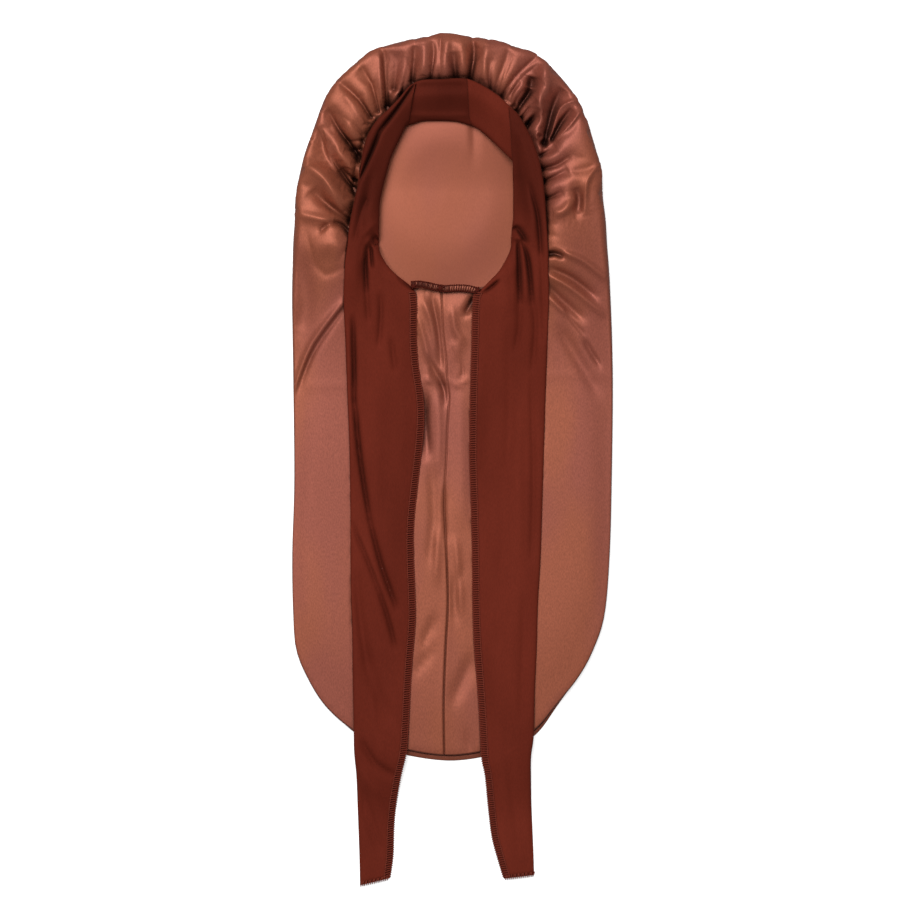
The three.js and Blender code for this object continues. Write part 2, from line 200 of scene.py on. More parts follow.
# Folds: the x and y of a fold's start, middle and end, its half width, its rise, and how round it
# is, from 1 for a sharp crease to 2 for a soft swell. The last number makes it lean: the fold is
# steeper to the right of the way it runs, or to the left where it is negative.
GATHERS = (
    (-20, 403, -18, 390, -21, 365, 3, -4, 1.1, -0.3),
    (-11, 409, -12, 386, -12, 365, 2.2, -2.5, 1.1, 0),
    (1, 392, 2, 380, 4, 365, 4, -7.8, 1.4, 0),
    (-36, 398, -37, 382, -39, 365, 3.8, -6, 1.4, 0.3),
    (-41, 387, -45, 369, -49, 352, 3.8, -4.4, 1.5, 0.3),
    (-52, 393, -53, 378, -56, 358, 5, -5, 1.7, 0),
    (-67, 396, -65, 367, -63, 340, 5.5, -9, 1.2, 0.5),
    (-87, 378, -78, 362, -71, 336, 3.4, -5, 1.1, -0.3),
    (-77, 372, -72, 355, -67, 338, 2.2, -2.5, 1.1, 0.3),
    (-108, 363, -91, 347, -79, 330, 3.6, -5.5, 1.1, 0.4),
    (-99, 344, -89, 333, -81, 323, 2.2, -2.9, 1.1, 0.3),
    (-105, 330, -95, 322, -86, 313, 2, -2.5, 1.1, 0),
    (-120, 338, -108, 317, -89, 292, 4.5, -8.4, 1.2, -0.4),
    (-103, 309, -95, 307, -87, 308, 1.8, -2.9, 1.1, 0),
    (-104, 300, -97, 299, -88, 300, 1.8, -3.2, 1.1, 0.3),
    (-131, 320, -118, 292, -94, 260, 6.4, -9, 1.4, -0.3),
    (-107, 282, -99, 274, -92, 270, 2.6, -6, 1.1, 0),
    (-134, 261, -122, 248, -99, 230, 5, -6.6, 1.5, 0),
    (-110, 251, -103, 242, -96, 237, 2.2, -3.2, 1.1, 0.3),
    (19, 411, 21, 390, 17, 365, 4, -9.6, 1.1, -0.3),
    (28, 382, 27, 372, 26, 362, 1.8, -2.5, 1.1, 0),
    (35, 386, 35, 372, 36, 357, 2.6, -4.5, 1.2, 0),
    (54, 394, 46, 372, 40, 354, 3, -4.5, 1.1, 0.3),
    (59, 390, 51, 372, 44, 352, 2.2, -2.9, 1.1, 0.3),
    (81, 388, 63, 372, 47, 350, 3.8, -6, 1.1, 0.4),
    (83, 380, 68, 369, 52, 347, 2.4, -3.2, 1.1, 0),
    (66, 363, 59, 355, 55, 345, 2, -3.2, 1.1, 0),
    (72, 359, 64, 351, 59, 341, 2, -3.6, 1.1, 0),
    (88, 362, 74, 352, 62, 336, 5, -9, 1.2, -0.3),
    (82, 345, 74, 339, 66, 329, 2.8, -7, 1.2, 0),
    (85, 336, 79, 330, 71, 321, 2.4, -4.3, 1.2, 0),
    (106, 358, 97, 341, 88, 306, 6.4, -11, 1.4, 0.3),
    (115, 338, 106, 327, 96, 309, 3.8, -8.4, 1.3, 0.4),
    (80, 339, 78, 331, 73, 324, 4.2, -6.5, 1.6, 0),
    (100, 301, 93, 297, 85, 293, 2.4, -5, 1.2, 0),
    (113, 292, 101, 284, 87, 280, 3.6, -6, 1.2, -0.3),
    (111, 280, 99, 273, 88, 268, 3.6, -6, 1.2, 0),
    (106, 258, 98, 254, 89, 251, 2.8, -5, 1.2, 0),
)
SATIN_FOLDS = (
    (77, 369, 76, 365, 75, 359, 6, -6.5, 1.8, 0),
    (75, 358, 71, 350, 64, 342, 3.4, -4.5, 1.5, 0),
    (89, 378, 83, 349, 88, 320, 3.8, 3, 1.8, 0),
    (121, 347, 104, 339, 95, 312, 1.9, 3.8, 1.2, 0.4),
    (125, 338, 112, 321, 90, 300, 2.6, 4.4, 1.3, -0.5),
    (83, 316, 88, 312, 85, 307, 1.6, 3.5, 1.6, 0),
    (83, 316, 80, 312, 82, 308, 1.6, 3.2, 1.6, 0),
    (84, 313, 84, 312, 84, 311, 1.4, -3, 2, 0),
    (141, 285, 129, 267, 127, 238, 2.4, 2, 1.4, 0),
    (118, 262, 121, 251, 119, 237, 5, -3.5, 2, 0),
    (-138, 284, -123, 269, -105, 239, 6, 4, 1.8, 0),
    (-122, 303, -117, 290, -110, 278, 3.2, 3, 1.6, 0),
    (-70, 390, -69, 369, -67, 344, 3, 3.5, 1.5, 0),
    (-28, 400, -28, 386, -29, 369, 5, 2.5, 2, 0),
    (-5, 405, -6, 388, -6, 367, 4, 2.5, 2, 0),
    (10, 403, 10, 388, 11, 369, 5, 2.5, 2, 0),
    (32, 398, 31, 382, 31, 365, 5, 3, 2, 0),
    (90, 380, 90, 361, 82, 336, 5, 3.5, 2, 0),
    (-104, 352, -93, 338, -83, 324, 4, 2.5, 2, 0),
    (96, 237, 106, 239, 115, 248, 4.5, 3, 2, 0),
    (91, 198, 99, 199, 107, 196, 2.9, -5.5, 1.7, 0),
    (96, 202, 123, 193, 149, 174, 3.4, 2.5, 1.6, 0),
    (93, 185, 115, 175, 137, 158, 4.5, -3.5, 1.6, 0),
    (94, 177, 116, 164, 145, 141, 2.6, 2.5, 1.4, 0),
    (92, 168, 106, 154, 125, 137, 4.5, -3, 1.6, 0),
    (94, 156, 111, 139, 128, 119, 2.0, 2.2, 1.4, 0),
    (109, 142, 118, 131, 128, 120, 1.5, -4, 1.3, 0),
    (127, 115, 134, 104, 142, 92, 1.5, -3.2, 1.3, 0),
    (104, 125, 117, 104, 140, 66, 6, -1.6, 2, 0),
    (-150, 237, -132, 233, -110, 228, 3.6, 3.5, 1.6, 0),
    (-127, 220, -120, 226, -113, 228, 2.2, -3.5, 1.3, 0.4),
    (-115, 228, -107, 226, -99, 218, 2.8, -9, 1.4, 0.4),
    (-136, 203, -117, 207, -104, 201, 12, 2.5, 2, 0),
    (-134, 191, -122, 179, -107, 185, 4, -0.7, 1.6, 0),
    (-105, 152, -136, 110, -151, 70, 2.6, 2.6, 1.4, -0.4),
    (-104, 148, -133, 108, -150, 69, 1.9, -2.4, 1.3, 0.3),
    (-147, 191, -141, 154, -147, 125, 9, -1.4, 2, 0),
)
CENTRE_FOLDS = (
    (-28, 154, -20, 133, -15, 106, 4.4, 2.2, 1.6, 0),
    (-20, 156, -14, 125, -11, 91, 3.8, -3.2, 1.6, 0),
    (-33, 137, -26, 111, -22, 84, 3.8, 1.8, 1.8, 0),
    (-24, 98, -18, 88, -9, 72, 4, -3.6, 2, -0.3),
    (-12, 78, -8, 68, -7, 56, 3.6, -3.8, 2, 0),
    (-28, 79, -18, 76, -4, 76, 1.2, 1.6, 1.6, 0),
    (0, 145, 3, 125, 11, 114, 4, 2, 1.8, 0),
    (21, 157, 18, 151, 12, 141, 3.4, -6, 1.5, 0),
    (0, 106, 5, 111, 3, 100, 5, 1.4, 2, 0),
    (5, 77, 10, 83, 9, 95, 1.8, -1, 1.6, 0),
    (-2, 75, 5, 73, 17, 79, 1.5, 0.8, 1.6, 0),
    (-26, 62, -26, 39, -24, 8, 5, -4.2, 2, -0.3),
    (-15, 60, -13, 29, -14, -10, 5, 1.4, 2, 0),
    (8, 66, 8, 10, 10, -58, 8, 1.4, 2, 0),
    (-7, -27, -8, -50, -6, -75, 2.8, -2.0, 1.6, 0),
    (-20, -10, -18, -58, -22, -96, 5, -1.4, 2, 0),
    (-15, -68, -15, -92, -16, -116, 4, 1.4, 2, 0),
    (3, -77, 6, -111, 8, -145, 3.8, 1.6, 1.6, 0),
    (10, -106, 2, -125, 3, -154, 4, -1.4, 2, 0),
    (-16, -154, -22, -164, -29, -179, 3.8, -1.8, 1.6, 0),
    (-18, -183, -28, -195, -38, -205, 4, -1.4, 1.8, 0),
    (19, -192, 10, -212, 1, -232, 6, -2.2, 2, 0),
    (13, -265, 16, -275, 19, -282, 3.2, -1.4, 1.6, 0),
)
TIE_FOLDS = (
    (-96, 137, -95, 95, -95, 56, 2.4, -8, 1.3, 0),
    (-95, 58, -89, -1, -80, -58, 2.6, -8.5, 1.3, 0.2),
    (-80, -58, -69, -101, -54, -143, 2.8, -7, 1.4, 0.2),
    (-100, 125, -99, 58, -97, -10, 3, 1.7, 2, 0),
    (-96, -63, -83, -93, -72, -122, 2.5, -5.4, 1.4, -0.2),
    (-72, -122, -62, -153, -55, -181, 2.5, -5.4, 1.4, -0.2),
    (-92, -69, -80, -96, -67, -127, 2.6, 1.7, 1.8, 0),
    (-93, -111, -89, -153, -82, -201, 5, -4.6, 1.8, 0),
    (-83, -183, -74, -222, -58, -253, 7, -3, 2, 0),
    (-88, -272, -74, -293, -56, -305, 4, -5.7, 1.5, 0),
    (-90, -297, -80, -313, -72, -324, 5, 1.7, 2, 0),
    (-87, -318, -80, -349, -70, -376, 5, -3.8, 1.8, 0),
    (-78, -222, -75, -261, -66, -282, 5, 1.7, 2, 0),
    (-75, 215, -74, 211, -72, 208, 3, -17.1, 1.8, 0),
    (-82, 207, -84, 189, -83, 164, 2.6, -9.1, 1.3, 0),
    (-83, 166, -82, 150, -81, 133, 2.8, -4.2, 1.5, 0),
    (-79, 207, -78, 197, -77, 185, 2.2, -6.8, 1.3, 0),
    (-78, 214, -83, 207, -87, 191, 2.6, 2.5, 1.8, 0),
    (-90, 214, -93, 189, -95, 154, 5, 2, 2, 0),
    (-69, 160, -69, 138, -71, 110, 3, -4.6, 1.5, 0),
    (-59, 116, -57, 100, -55, 85, 3, -3.8, 1.6, 0),
    (-52, 176, -46, 170, -39, 165, 1.8, -6.1, 1.5, 0),
    (-82, 253, -88, 239, -94, 212, 3.6, -4.9, 1.5, 0),
    (-78, 274, -83, 247, -84, 224, 5, -3.4, 2, 0),
    (-74, 227, -80, 223, -85, 216, 3, 2.2, 2, 0),
    (74, 264, 82, 235, 85, 199, 3, -6.8, 1.4, 0),
    (64, 275, 66, 251, 69, 226, 7, -5, 2, 0),
    (61, 306, 61, 270, 60, 232, 5, -4, 2, 0),
    (55, 220, 63, 223, 72, 209, 2.4, -10.6, 1.4, 0),
    (58, 213, 62, 214, 66, 212, 2.6, 3.1, 2, 0),
    (63, 210, 64, 191, 65, 152, 2.2, -8, 1.3, 0),
    (65, 152, 64, 125, 60, 104, 3.5, -3.4, 1.8, 0),
    (67, 210, 73, 191, 77, 151, 2.2, -8, 1.3, 0),
    (77, 151, 80, 130, 77, 87, 3.5, -4.2, 1.6, 0),
    (67, 203, 69, 183, 71, 154, 2.6, 2.5, 2, 0),
    (54, 191, 57, 169, 57, 145, 4, 2.2, 2, 0),
    (45, 173, 38, 167, 30, 161, 1.8, -4.9, 1.5, 0),
    (85, 203, 87, 164, 88, 116, 3, -2.7, 1.8, 0),
    (65, 58, 64, -10, 65, -96, 5, 1.7, 2, 0),
    (76, 77, 78, -19, 76, -96, 3, -3, 1.6, 0),
    (54, 125, 55, 58, 52, -10, 5, -1.9, 2, 0),
    (69, -135, 68, -193, 66, -251, 5, -2.3, 1.8, 0),
    (46, -135, 45, -193, 49, -251, 8, 1.4, 2, 0),
    (54, -290, 59, -328, 65, -376, 5, -1.9, 2, 0),
    (-90, 268, -79, 294, -70, 317, 1.9, -8, 1.3, 0),
    (-70, 317, -53, 338, -36, 362, 1.9, -8, 1.3, 0),
)

# The seam down the middle of the bag's front, from the nape to the foot.
SEAM = (
    (-10.5, 164), (-10, 147), (-9, 121), (-6, 96), (-5, 77), (-3.5, 58), (-5, 29),
    (-6, 0), (-8, -39), (-6.5, -77), (-4.5, -135), (-6.5, -178), (-8.5, -232), (-8, -282),
)


def lerp(a, b, t):
    return a + (b - a) * t


def smooth(t):
    """A soft step from 0 to 1 as t goes from 0 to 1."""
    t = np.clip(t, 0.0, 1.0)
    return t * t * (3.0 - 2.0 * t)


def bell(t, power=2):
    """1 at 0, and less the further t is from 0."""
    return np.exp(-(np.abs(t) ** power))


def rounded(t):
    """A quarter circle's rise, from 0 at 0 to 1 at 1."""
    return np.sqrt(np.clip(1 - (1 - np.clip(t, 0, 1)) ** 2, 0, 1))


def unit(vectors):
    return vectors / np.linalg.norm(vectors, axis=-1, keepdims=True)


def left_of(line):
    """The direction to the left at each point of a line in plan."""
    along = unit(np.gradient(line, axis=0))
    return np.stack([-along[:, 1], along[:, 0]], 1)


def run_along(line):
    """How far each of a line's points is from its start, measured along it."""
    return np.concatenate([[0], np.cumsum(np.linalg.norm(np.diff(line, axis=0), axis=1))])


def wrapped(angle):
    """The same angle, within half a turn of zero."""
    return np.arctan2(np.sin(angle), np.cos(angle))


def spline_weights(f):
    """The weights of four neighbouring points for one a share f of the way from the second on."""
    return (
        -0.5 * f + f**2 - 0.5 * f**3,
        1 - 2.5 * f**2 + 1.5 * f**3,
        0.5 * f + 2 * f**2 - 1.5 * f**3,
        -0.5 * f**2 + 0.5 * f**3,
    )


def through(points, t, closed=False):
    """Points on a smooth line through the given ones, at t from 0 to 1."""
    points = np.asarray(points, float)
    count = len(points)
    spans = count if closed else count - 1
    at = np.clip(np.asarray(t, float), 0.0, 1.0) * spans
    i = np.minimum(np.floor(at).astype(int), spans - 1)
    total = 0.0
    for step, weight in zip((-1, 0, 1, 2), spline_weights(at - i)):
        k = (i + step) % count if closed else np.clip(i + step, 0, count - 1)
        total = total + weight[..., None] * points[k]
    return total


def outline_points(count):
    right = [(right, y) for y, _, right in OUTLINE]
    left = [(left, y) for y, left, _ in reversed(OUTLINE)]
    t = np.linspace(0.0, 1.0, count, endpoint=False)
    return through([CROWN_TOP, *right, FOOT, *left], t, closed=True)


def polar(x, y):
    return np.arctan2(y - FACE[1], x - FACE[0]), np.hypot(y - FACE[1], x - FACE[0])


def radius_table(points):
    angle, radius = polar(*np.asarray(points, float).T)
    order = np.argsort(angle)
    return angle[order], radius[order]


# The strip's outer edge, where it lies on the gathers.
BAND_ROWS = LEFT_EDGES[18:28] + CROWN_EDGES[3:] + FLAP_EDGES[3:5] + RIGHT_EDGES[2:17]
BAND_TABLE = radius_table([outer for _, outer in BAND_ROWS])
OUTLINE_TABLE = radius_table(outline_points(2400))


def edge_radius(angle):
    """How far the bag's outline is from the middle of the face."""
    return np.interp(angle, *OUTLINE_TABLE, period=2 * np.pi)


def rim_radius(angle):
    """How far the bag's sewn edge is from the middle of the face."""
    up = np.sin(angle) > 0
    power = np.where(up, 2.0, 3.0)
    tall = np.where(up, RIM_UP, RIM_DOWN)
    across = np.abs(np.cos(angle) / RIM_SIDE) ** power
    along = np.abs(np.sin(angle) / tall) ** power
    return (across + along) ** (-1.0 / power)


def puff(y):
    return lerp(PUFF_POUCH, PUFF_HEAD, 0.5 + 0.5 * np.tanh((y - PUFF_MIDDLE) / PUFF_BLEND))


def bag_height(x, y):
    """The height of the bag's front without folds."""
    angle, radius = polar(x, y)
    from_rim = np.maximum(radius - rim_radius(angle), 0.0)
    return puff(y) * lerp(RIM_SHARE, 1.0, 1.0 - bell(from_rim / RIM_SLOPE))


def strip_seat(x, y):
    """The height of the jersey strip's underside: on the satin, and on the table past its foot."""
    angle, radius = polar(x, y)
    from_rim = radius - rim_radius(angle)
    lying = bag_height(x, y) + LAY_GAP + BUNCH_HEIGHT * bell(from_rim / BUNCH_REACH)
    inward = smooth(-from_rim / OPENING_SLOPE)
    past = smooth((radius - edge_radius(angle)) / TIE_DROP)
    return lerp(lerp(lying, OPENING_EDGE_HEIGHT, inward), 0.0, past)


FOLD_PIECES = 12  # the straight pieces that a fold's curve is measured from
FOLD_REACH = 6.0  # how far a fold reaches to each side, in half widths
END_TAPER = 0.65  # how much shallower a fold is at both ends
OUTER_DEPTH = 0.12  # a gathered fold's share of its depth at its outer end
GATHER_WIDTHS = (1.9, 0.85)  # and its share of its width there and at the band


def beside_curve(ends, x, y):
    """How far places are from a curve, at what share of its length, and to which side of it."""
    line = through(ends, np.linspace(0, 1, FOLD_PIECES + 1))
    away = np.full(x.shape, np.inf)
    at, side = np.zeros(x.shape), np.zeros(x.shape)
    for i in range(FOLD_PIECES):
        (ax, ay), (ux, uy) = line[i], line[i + 1] - line[i]
        s = np.clip(((x - ax) * ux + (y - ay) * uy) / (ux * ux + uy * uy), 0, 1)
        d = np.hypot(x - ax - s * ux, y - ay - s * uy)
        closer = d < away
        at = np.where(closer, (i + s) / FOLD_PIECES, at)
        turn = ux * (y - ay) - uy * (x - ax)
        side = np.where(closer, np.tanh(turn / np.hypot(ux, uy)), side)
        away = np.minimum(away, d)
    return away, at, side


def fold_field(folds, x, y, gathered=False):
    """The rise of all of a table's folds at the given places.

    A gathered fold widens and fades on its way out from the band, where it ends."""
    rise = np.zeros(np.shape(x))
    for x0, y0, x1, y1, x2, y2, width, height, power, lean in folds:
        reach = FOLD_REACH * width
        near = (x > min(x0, x1, x2) - reach) & (x < max(x0, x1, x2) + reach)
        near &= (y > min(y0, y1, y2) - reach) & (y < max(y0, y1, y2) + reach)
        away, at, side = beside_curve([(x0, y0), (x1, y1), (x2, y2)], x[near], y[near])
        taper = 1 - END_TAPER * np.abs(2 * at - 1) ** 3
        spread = width * (1 + lean * side)
        if gathered:
            taper = lerp(OUTER_DEPTH, 1, at**0.7)
            spread = spread * lerp(*GATHER_WIDTHS, at)
        rise[near] += height * taper * bell(away / spread, power) * (1 - smooth(away / reach))
    return rise


def mesh_object(name, points, faces, material):
    """An object from points in millimetres of the tables' frame."""
    mesh = bpy.data.meshes.new(name)
    placed = (np.asarray(points, float).reshape(-1, 3) + SHIFT) * MM
    mesh.from_pydata(placed.tolist(), [], faces)
    mesh.shade_smooth()
    mesh.materials.append(material)
    obj = bpy.data.objects.new(name, mesh)
    bpy.context.scene.collection.objects.link(obj)
    return obj


def grid_faces(columns, rows, wrap, flip=False, first=0):
    """Quads over a grid that is stored column by column, and whose columns may go right round."""
    last = columns if wrap else columns - 1
    c, r = np.meshgrid(np.arange(last), np.arange(rows - 1), indexing="ij")
    n = (c + 1) % columns
    corners = (c * rows + r, c * rows + r + 1, n * rows + r + 1, n * rows + r)
    quads = np.stack(corners, -1).reshape(-1, 4) + first
    return (quads[:, ::-1] if flip else quads).tolist()


# The grid of the bag's front that is simulated, and the rows of the finer one made from it. A column
# runs out from the sewn edge, and its last rows are turned under the bag's edge.
COLUMNS, ROWS, TURNED = 760, 60, 11
FINE_ROWS, FINE_TURNED = 126, 18
OVER_STEPS, TURN_STEPS = 200, 60  # the points that a column's own shape is worked out at
SHORT_COLUMN, SHORT_FINE_COLUMN, LONGER = 60.0, 90.0, 120.0  # short columns have even rows

# The smooth front.
FOOT_LIP = 6.0  # the back layer shows this far past the front at the foot
EDGE_ROUND = 0.24  # the edge's rounding, as a share of the bag's height
EDGE_FALL, EDGE_REACH = 0.18, 34.0  # how much lower the bag lies towards its edge, and how far in
EDGE_MIDDLE = 0.45  # the share of the height at which the edge is widest
UNDERSIDE = 1.2  # the lowest that the front's cloth lies
SEWN_INSIDE = 4.0  # the satin is sewn this far inside the band's outer edge

# How deep its folds are before the simulation, and how much of them is added again as creases.
GATHER_DEPTH, CROWN_DEPTH = 1.8, 0.7
CREASE_DEPTH, FOLD_CREASE, CENTRE_CREASE = 0.55, 0.7, 1.1
DEEPEST, HIGHEST = -16.0, 8.0
PUCKERS, PUCKER_HEIGHT = 22, 2.2
PILLOW, PILLOW_RISE, PILLOW_REACH = 4.0, 9.0, 48.0  # how far the satin swells up beside the band

# The simulation.
FRAMES = 18
SIM_SCALE = 0.01  # the cloth is simulated at ten times its size
SPARE_CLOTH, SPARE_POUCH = 0.036, 0.003  # how much longer the cloth is than what it starts with
POUCH_HOLD, EDGE_HOLD, VALLEY_HOLD = 0.45, 0.6, 0.85  # how firmly these parts keep their shape
POUCH_TOP, POUCH_FADE = 272.0, 65.0  # where the flat pouch takes over from the gathers
NAPE_TOP = 172.0  # the y of the front's edge at the nape
RIDGE_BLUR, RIDGE_SHARE = 40, 0.9  # the ridges are broadened by so many steps and by this share


# The way the gathers run: degrees from the crown at the face, and where they meet the outline.
LEFT_LEAN = (
    (0, 0), (20, 14.5), (36, 25), (57, 50), (79, 65), (88, 71), (101, 79),
    (106, 87), (112, 103), (124, 127), (136, 142), (152, 164), (180, 180),
)
RIGHT_LEAN = (
    (0, 0), (29, 30), (49, 45), (60, 55.5), (80, 77), (100, 98), (118, 119),
    (134, 139), (152, 164), (180, 180),
)


def lip_width(angle):
    """How far the back layer shows past the front layer, along the seam round the foot."""
    degrees = np.degrees(angle)
    return FOOT_LIP * smooth((degrees + 105.0) / 9.0) * smooth((-72.0 - degrees) / 9.0)


def turn_from_crown(angle):
    """Degrees from the crown, positive to the left."""
    return np.mod(np.degrees(angle) - 90 + 180, 360) - 180


def past_gathers(turn):
    """0 where the face is gathered, and 1 towards the nape."""
    return smooth((turn - GATHERS_END) / GATHERS_FADE)


def sewn_radius(angle):
    """The line that the visible satin is sewn along: just inside the band, and at the nape."""
    band = np.interp(angle, *BAND_TABLE, period=2 * np.pi) - SEWN_INSIDE
    return lerp(band, rim_radius(angle), smooth((np.abs(turn_from_crown(angle)) - 98) / 34))


def front_lines():
    """For each column: how far it is from the crown, its angle at the sewn edge and at the
    outline, and its end points there."""
    angle = wrapped(2 * np.pi * np.arange(COLUMNS) / COLUMNS - np.pi / 2)
    turn = turn_from_crown(angle)
    left, right = (np.interp(np.abs(turn), *zip(*lean)) for lean in (LEFT_LEAN, RIGHT_LEAN))
    far_angle = wrapped(np.radians(90 + np.where(turn > 0, left, -right)))
    rim = FACE + sewn_radius(angle)[:, None] * np.stack([np.cos(angle), np.sin(angle)], 1)
    uneven = wander(far_angle, -1.0, 1.0, seed=3) * (1 - smooth((np.abs(turn) - 100) / 30))
    reach = (edge_radius(far_angle) - lip_width(far_angle) + uneven)[:, None]
    edge = FACE + reach * np.stack([np.cos(far_angle), np.sin(far_angle)], 1)
    return np.abs(turn), angle, far_angle, rim, edge


def column_shape(rim, outward, reach, rounding):
    """A column of the smooth front from the side: x, y and z close together, and how far the cloth
    leans over, which is nothing on top and half a turn once it is under the edge."""
    share = np.linspace(0, 1, OVER_STEPS)
    lean = np.concatenate([np.zeros(OVER_STEPS), np.linspace(0, math.pi, TURN_STEPS)[1:]])
    turned_under = lean > math.pi / 2
    distance = reach - rounding * (1 - np.sin(lean)) * np.where(turned_under, 0.5, 1.0)
    distance[:OVER_STEPS] = (reach - rounding) * share
    x, y = (rim[k] + outward[k] * distance for k in (0, 1))
    high = bag_height(x, y) * (1 - EDGE_FALL * bell((reach - distance) / EDGE_REACH))
    middle = EDGE_MIDDLE * high
    under = middle * (1 + np.cos(lean)) + UNDERSIDE
    z = np.where(turned_under, under, lerp(middle, high, np.cos(lean)))
    run = np.concatenate([[0], np.cumsum(np.hypot(np.diff(distance), np.diff(z)))])
    return (x, y, z), lean, run


def spread_rows(top, end, rows, turned, near, power):
    """Places for rows along a column: close together by the band, then ever wider apart up to top,
    and evenly from there, over the bag's edge, to the end."""
    i = np.arange(rows - turned) / (rows - turned)
    return np.concatenate([top * (near * i + (1 - near) * i**power), np.linspace(top, end, turned)])


def smooth_front():
    """The bag's front without folds, as a grid of points: over the top, round the edge and under."""
    turn, angle, far_angle, rim, edge = front_lines()
    reach = np.hypot(*(edge - rim).T)
    outward = (edge - rim) / reach[:, None]
    at_foot = lip_width(far_angle) / FOOT_LIP
    rounding = np.minimum(EDGE_ROUND * puff(edge[:, 1]), reach / 3) * lerp(1.0, 0.8, at_foot)
    grid = np.zeros((COLUMNS, ROWS, 3))
    leans = np.zeros((COLUMNS, ROWS))
    for c in range(COLUMNS):
        lines, lean, run = column_shape(rim[c], outward[c], reach[c], rounding[c])
        spread = spread_rows(run[OVER_STEPS - 1], run[-1], ROWS, TURNED, 0.12, 2.2)
        even = run[-1] * np.linspace(0, 1, ROWS) ** 1.1
        at = lerp(even, spread, smooth((reach[c] - SHORT_COLUMN) / LONGER))
        for k, line in enumerate(lines):
            grid[c, :, k] = np.interp(at, run, line)
        leans[c] = np.interp(at, run, lean)
    return grid, outward, turn, angle, leans


def column_lengths(grid):
    """How far each point is from the band, measured over the cloth."""
    steps = np.linalg.norm(np.diff(grid, axis=1), axis=2)
    return np.concatenate([np.zeros((len(grid), 1)), np.cumsum(steps, axis=1)], axis=1)


def wander(angle, low, high, seed):
    """A number that drifts between low and high on the way round the face."""
    rng = np.random.default_rng(seed)
    total = np.zeros_like(angle)
    for k in range(1, 24):
        total += rng.uniform(0.5, 1.0) / k**0.4 * np.sin(k * angle + rng.uniform(0, 2 * np.pi))
    total = (total - total.min()) / (total.max() - total.min())
    return lerp(low, high, total)


def gather_phase(angle, waves, wobble, seed):
    """The phase of gathers round the face, whose spacing wanders."""
    rng = np.random.default_rng(seed)
    phase = waves * angle
    for k in range(2, 16):
        size = rng.uniform(0.4, 1.0) * wobble / k
        phase = phase + size * np.sin(k * angle + rng.uniform(0, 2 * np.pi))
    return phase


def puckers(angle, turn, lengths):
    """The small gathers close to the band: round ridges between sharp valleys."""
    shape = 1.6 * np.abs(np.sin(gather_phase(angle, PUCKERS, 7.0, seed=8))) - 1.0
    size = wander(angle, 0.2, 1.5, seed=5) * (1 - 0.8 * past_gathers(turn))
    reach = wander(angle, 5.0, 15.0, seed=7)[:, None]
    return PUCKER_HEIGHT * (shape * size)[:, None] * bell(lengths / reach, 1.6)


def narrow_valleys(share):
    """The gathers' valleys at a share of their width."""
    return [(*fold[:6], share * fold[6], *fold[7:]) for fold in GATHERS if fold[7] < 0]


def folded_front():
    """The start of the simulation: the smooth front with its main folds."""
    grid, outward, turn, angle, leans = smooth_front()
    lengths = column_lengths(grid)
    x, y = grid[:, :, 0], grid[:, :, 1]
    rise = GATHER_DEPTH * fold_field(GATHERS, x, y, gathered=True) + fold_field(SATIN_FOLDS, x, y)
    rise = rise * lerp(CROWN_DEPTH, 1.0, smooth((turn - 20) / 20))[:, None]
    rise = rise * smooth((lengths + 1) / 6) + puckers(angle, turn, lengths)
    gathered = 1 - past_gathers(turn)[:, None]
    rise += PILLOW * gathered * (1 - bell(lengths / PILLOW_RISE)) * bell(lengths / PILLOW_REACH)
    rise = np.clip(rise, DEEPEST, HIGHEST) * (1 - smooth(leans / 2.4))
    grid[:, :, 2] += rise * np.cos(leans)
    grid[:, :, :2] += outward[:, None, :] * (rise * 0.5 * np.sin(leans))[:, :, None]
    grid[:, :, 2] = np.maximum(grid[:, :, 2], UNDERSIDE)
    return grid, turn, lengths, leans


def hold_shares(start, turn):
    """How firmly each point is held where it starts, and how little spare cloth it has."""
    x, y = start[:, :, 0], start[:, :, 1]
    pouch = np.maximum(smooth((POUCH_TOP - y) / POUCH_FADE), past_gathers(turn)[:, None])
    valley = smooth((-fold_field(narrow_valleys(0.6), x, y, gathered=True) - 1.0) / 3.0)
    hold = np.maximum(POUCH_HOLD * pouch, VALLEY_HOLD * valley)
    under_nape = (turn > NAPE_START)[:, None] * smooth((NAPE_TOP - y) / 6)
    hold = np.maximum(hold, under_nape)
    hold[:, ROWS - TURNED :] = np.maximum(hold[:, ROWS - TURNED :], EDGE_HOLD)
    hold[:, [0, ROWS - 2, ROWS - 1]] = 1.0
    return hold, pouch


def add_shares(group, shares):
    """Gives a vertex group its weights, in steps of a twentieth."""
    steps = np.round(shares.ravel() * 20).astype(int)
    for step in range(1, 21):
        group.add(np.flatnonzero(steps == step).tolist(), step / 20, "REPLACE")


def make_cloth(obj):
    """The simulation's settings, for stiff light satin under a slight pressure from below."""
    modifier = obj.modifiers.new("settling", "CLOTH")
    cloth = modifier.settings
    cloth.quality = 7
    cloth.mass = 0.15
    cloth.air_damping = 3
    cloth.tension_stiffness = cloth.compression_stiffness = 25
    cloth.shear_stiffness = 6
    cloth.bending_stiffness = 1.5
    cloth.tension_damping = cloth.compression_damping = cloth.shear_damping = 8
    cloth.bending_damping = 0.5
    cloth.vertex_group_mass = "sewn"
    cloth.vertex_group_shrink = "pouch"
    cloth.shrink_min = -SPARE_CLOTH
    cloth.shrink_max = -SPARE_POUCH
    cloth.use_pressure = True
    cloth.uniform_pressure_force = 0.15
    cloth.effector_weights.gravity = 0.0
    modifier.collision_settings.use_collision = False
    modifier.collision_settings.use_self_collision = False
    modifier.point_cache.frame_start = 1
    modifier.point_cache.frame_end = FRAMES


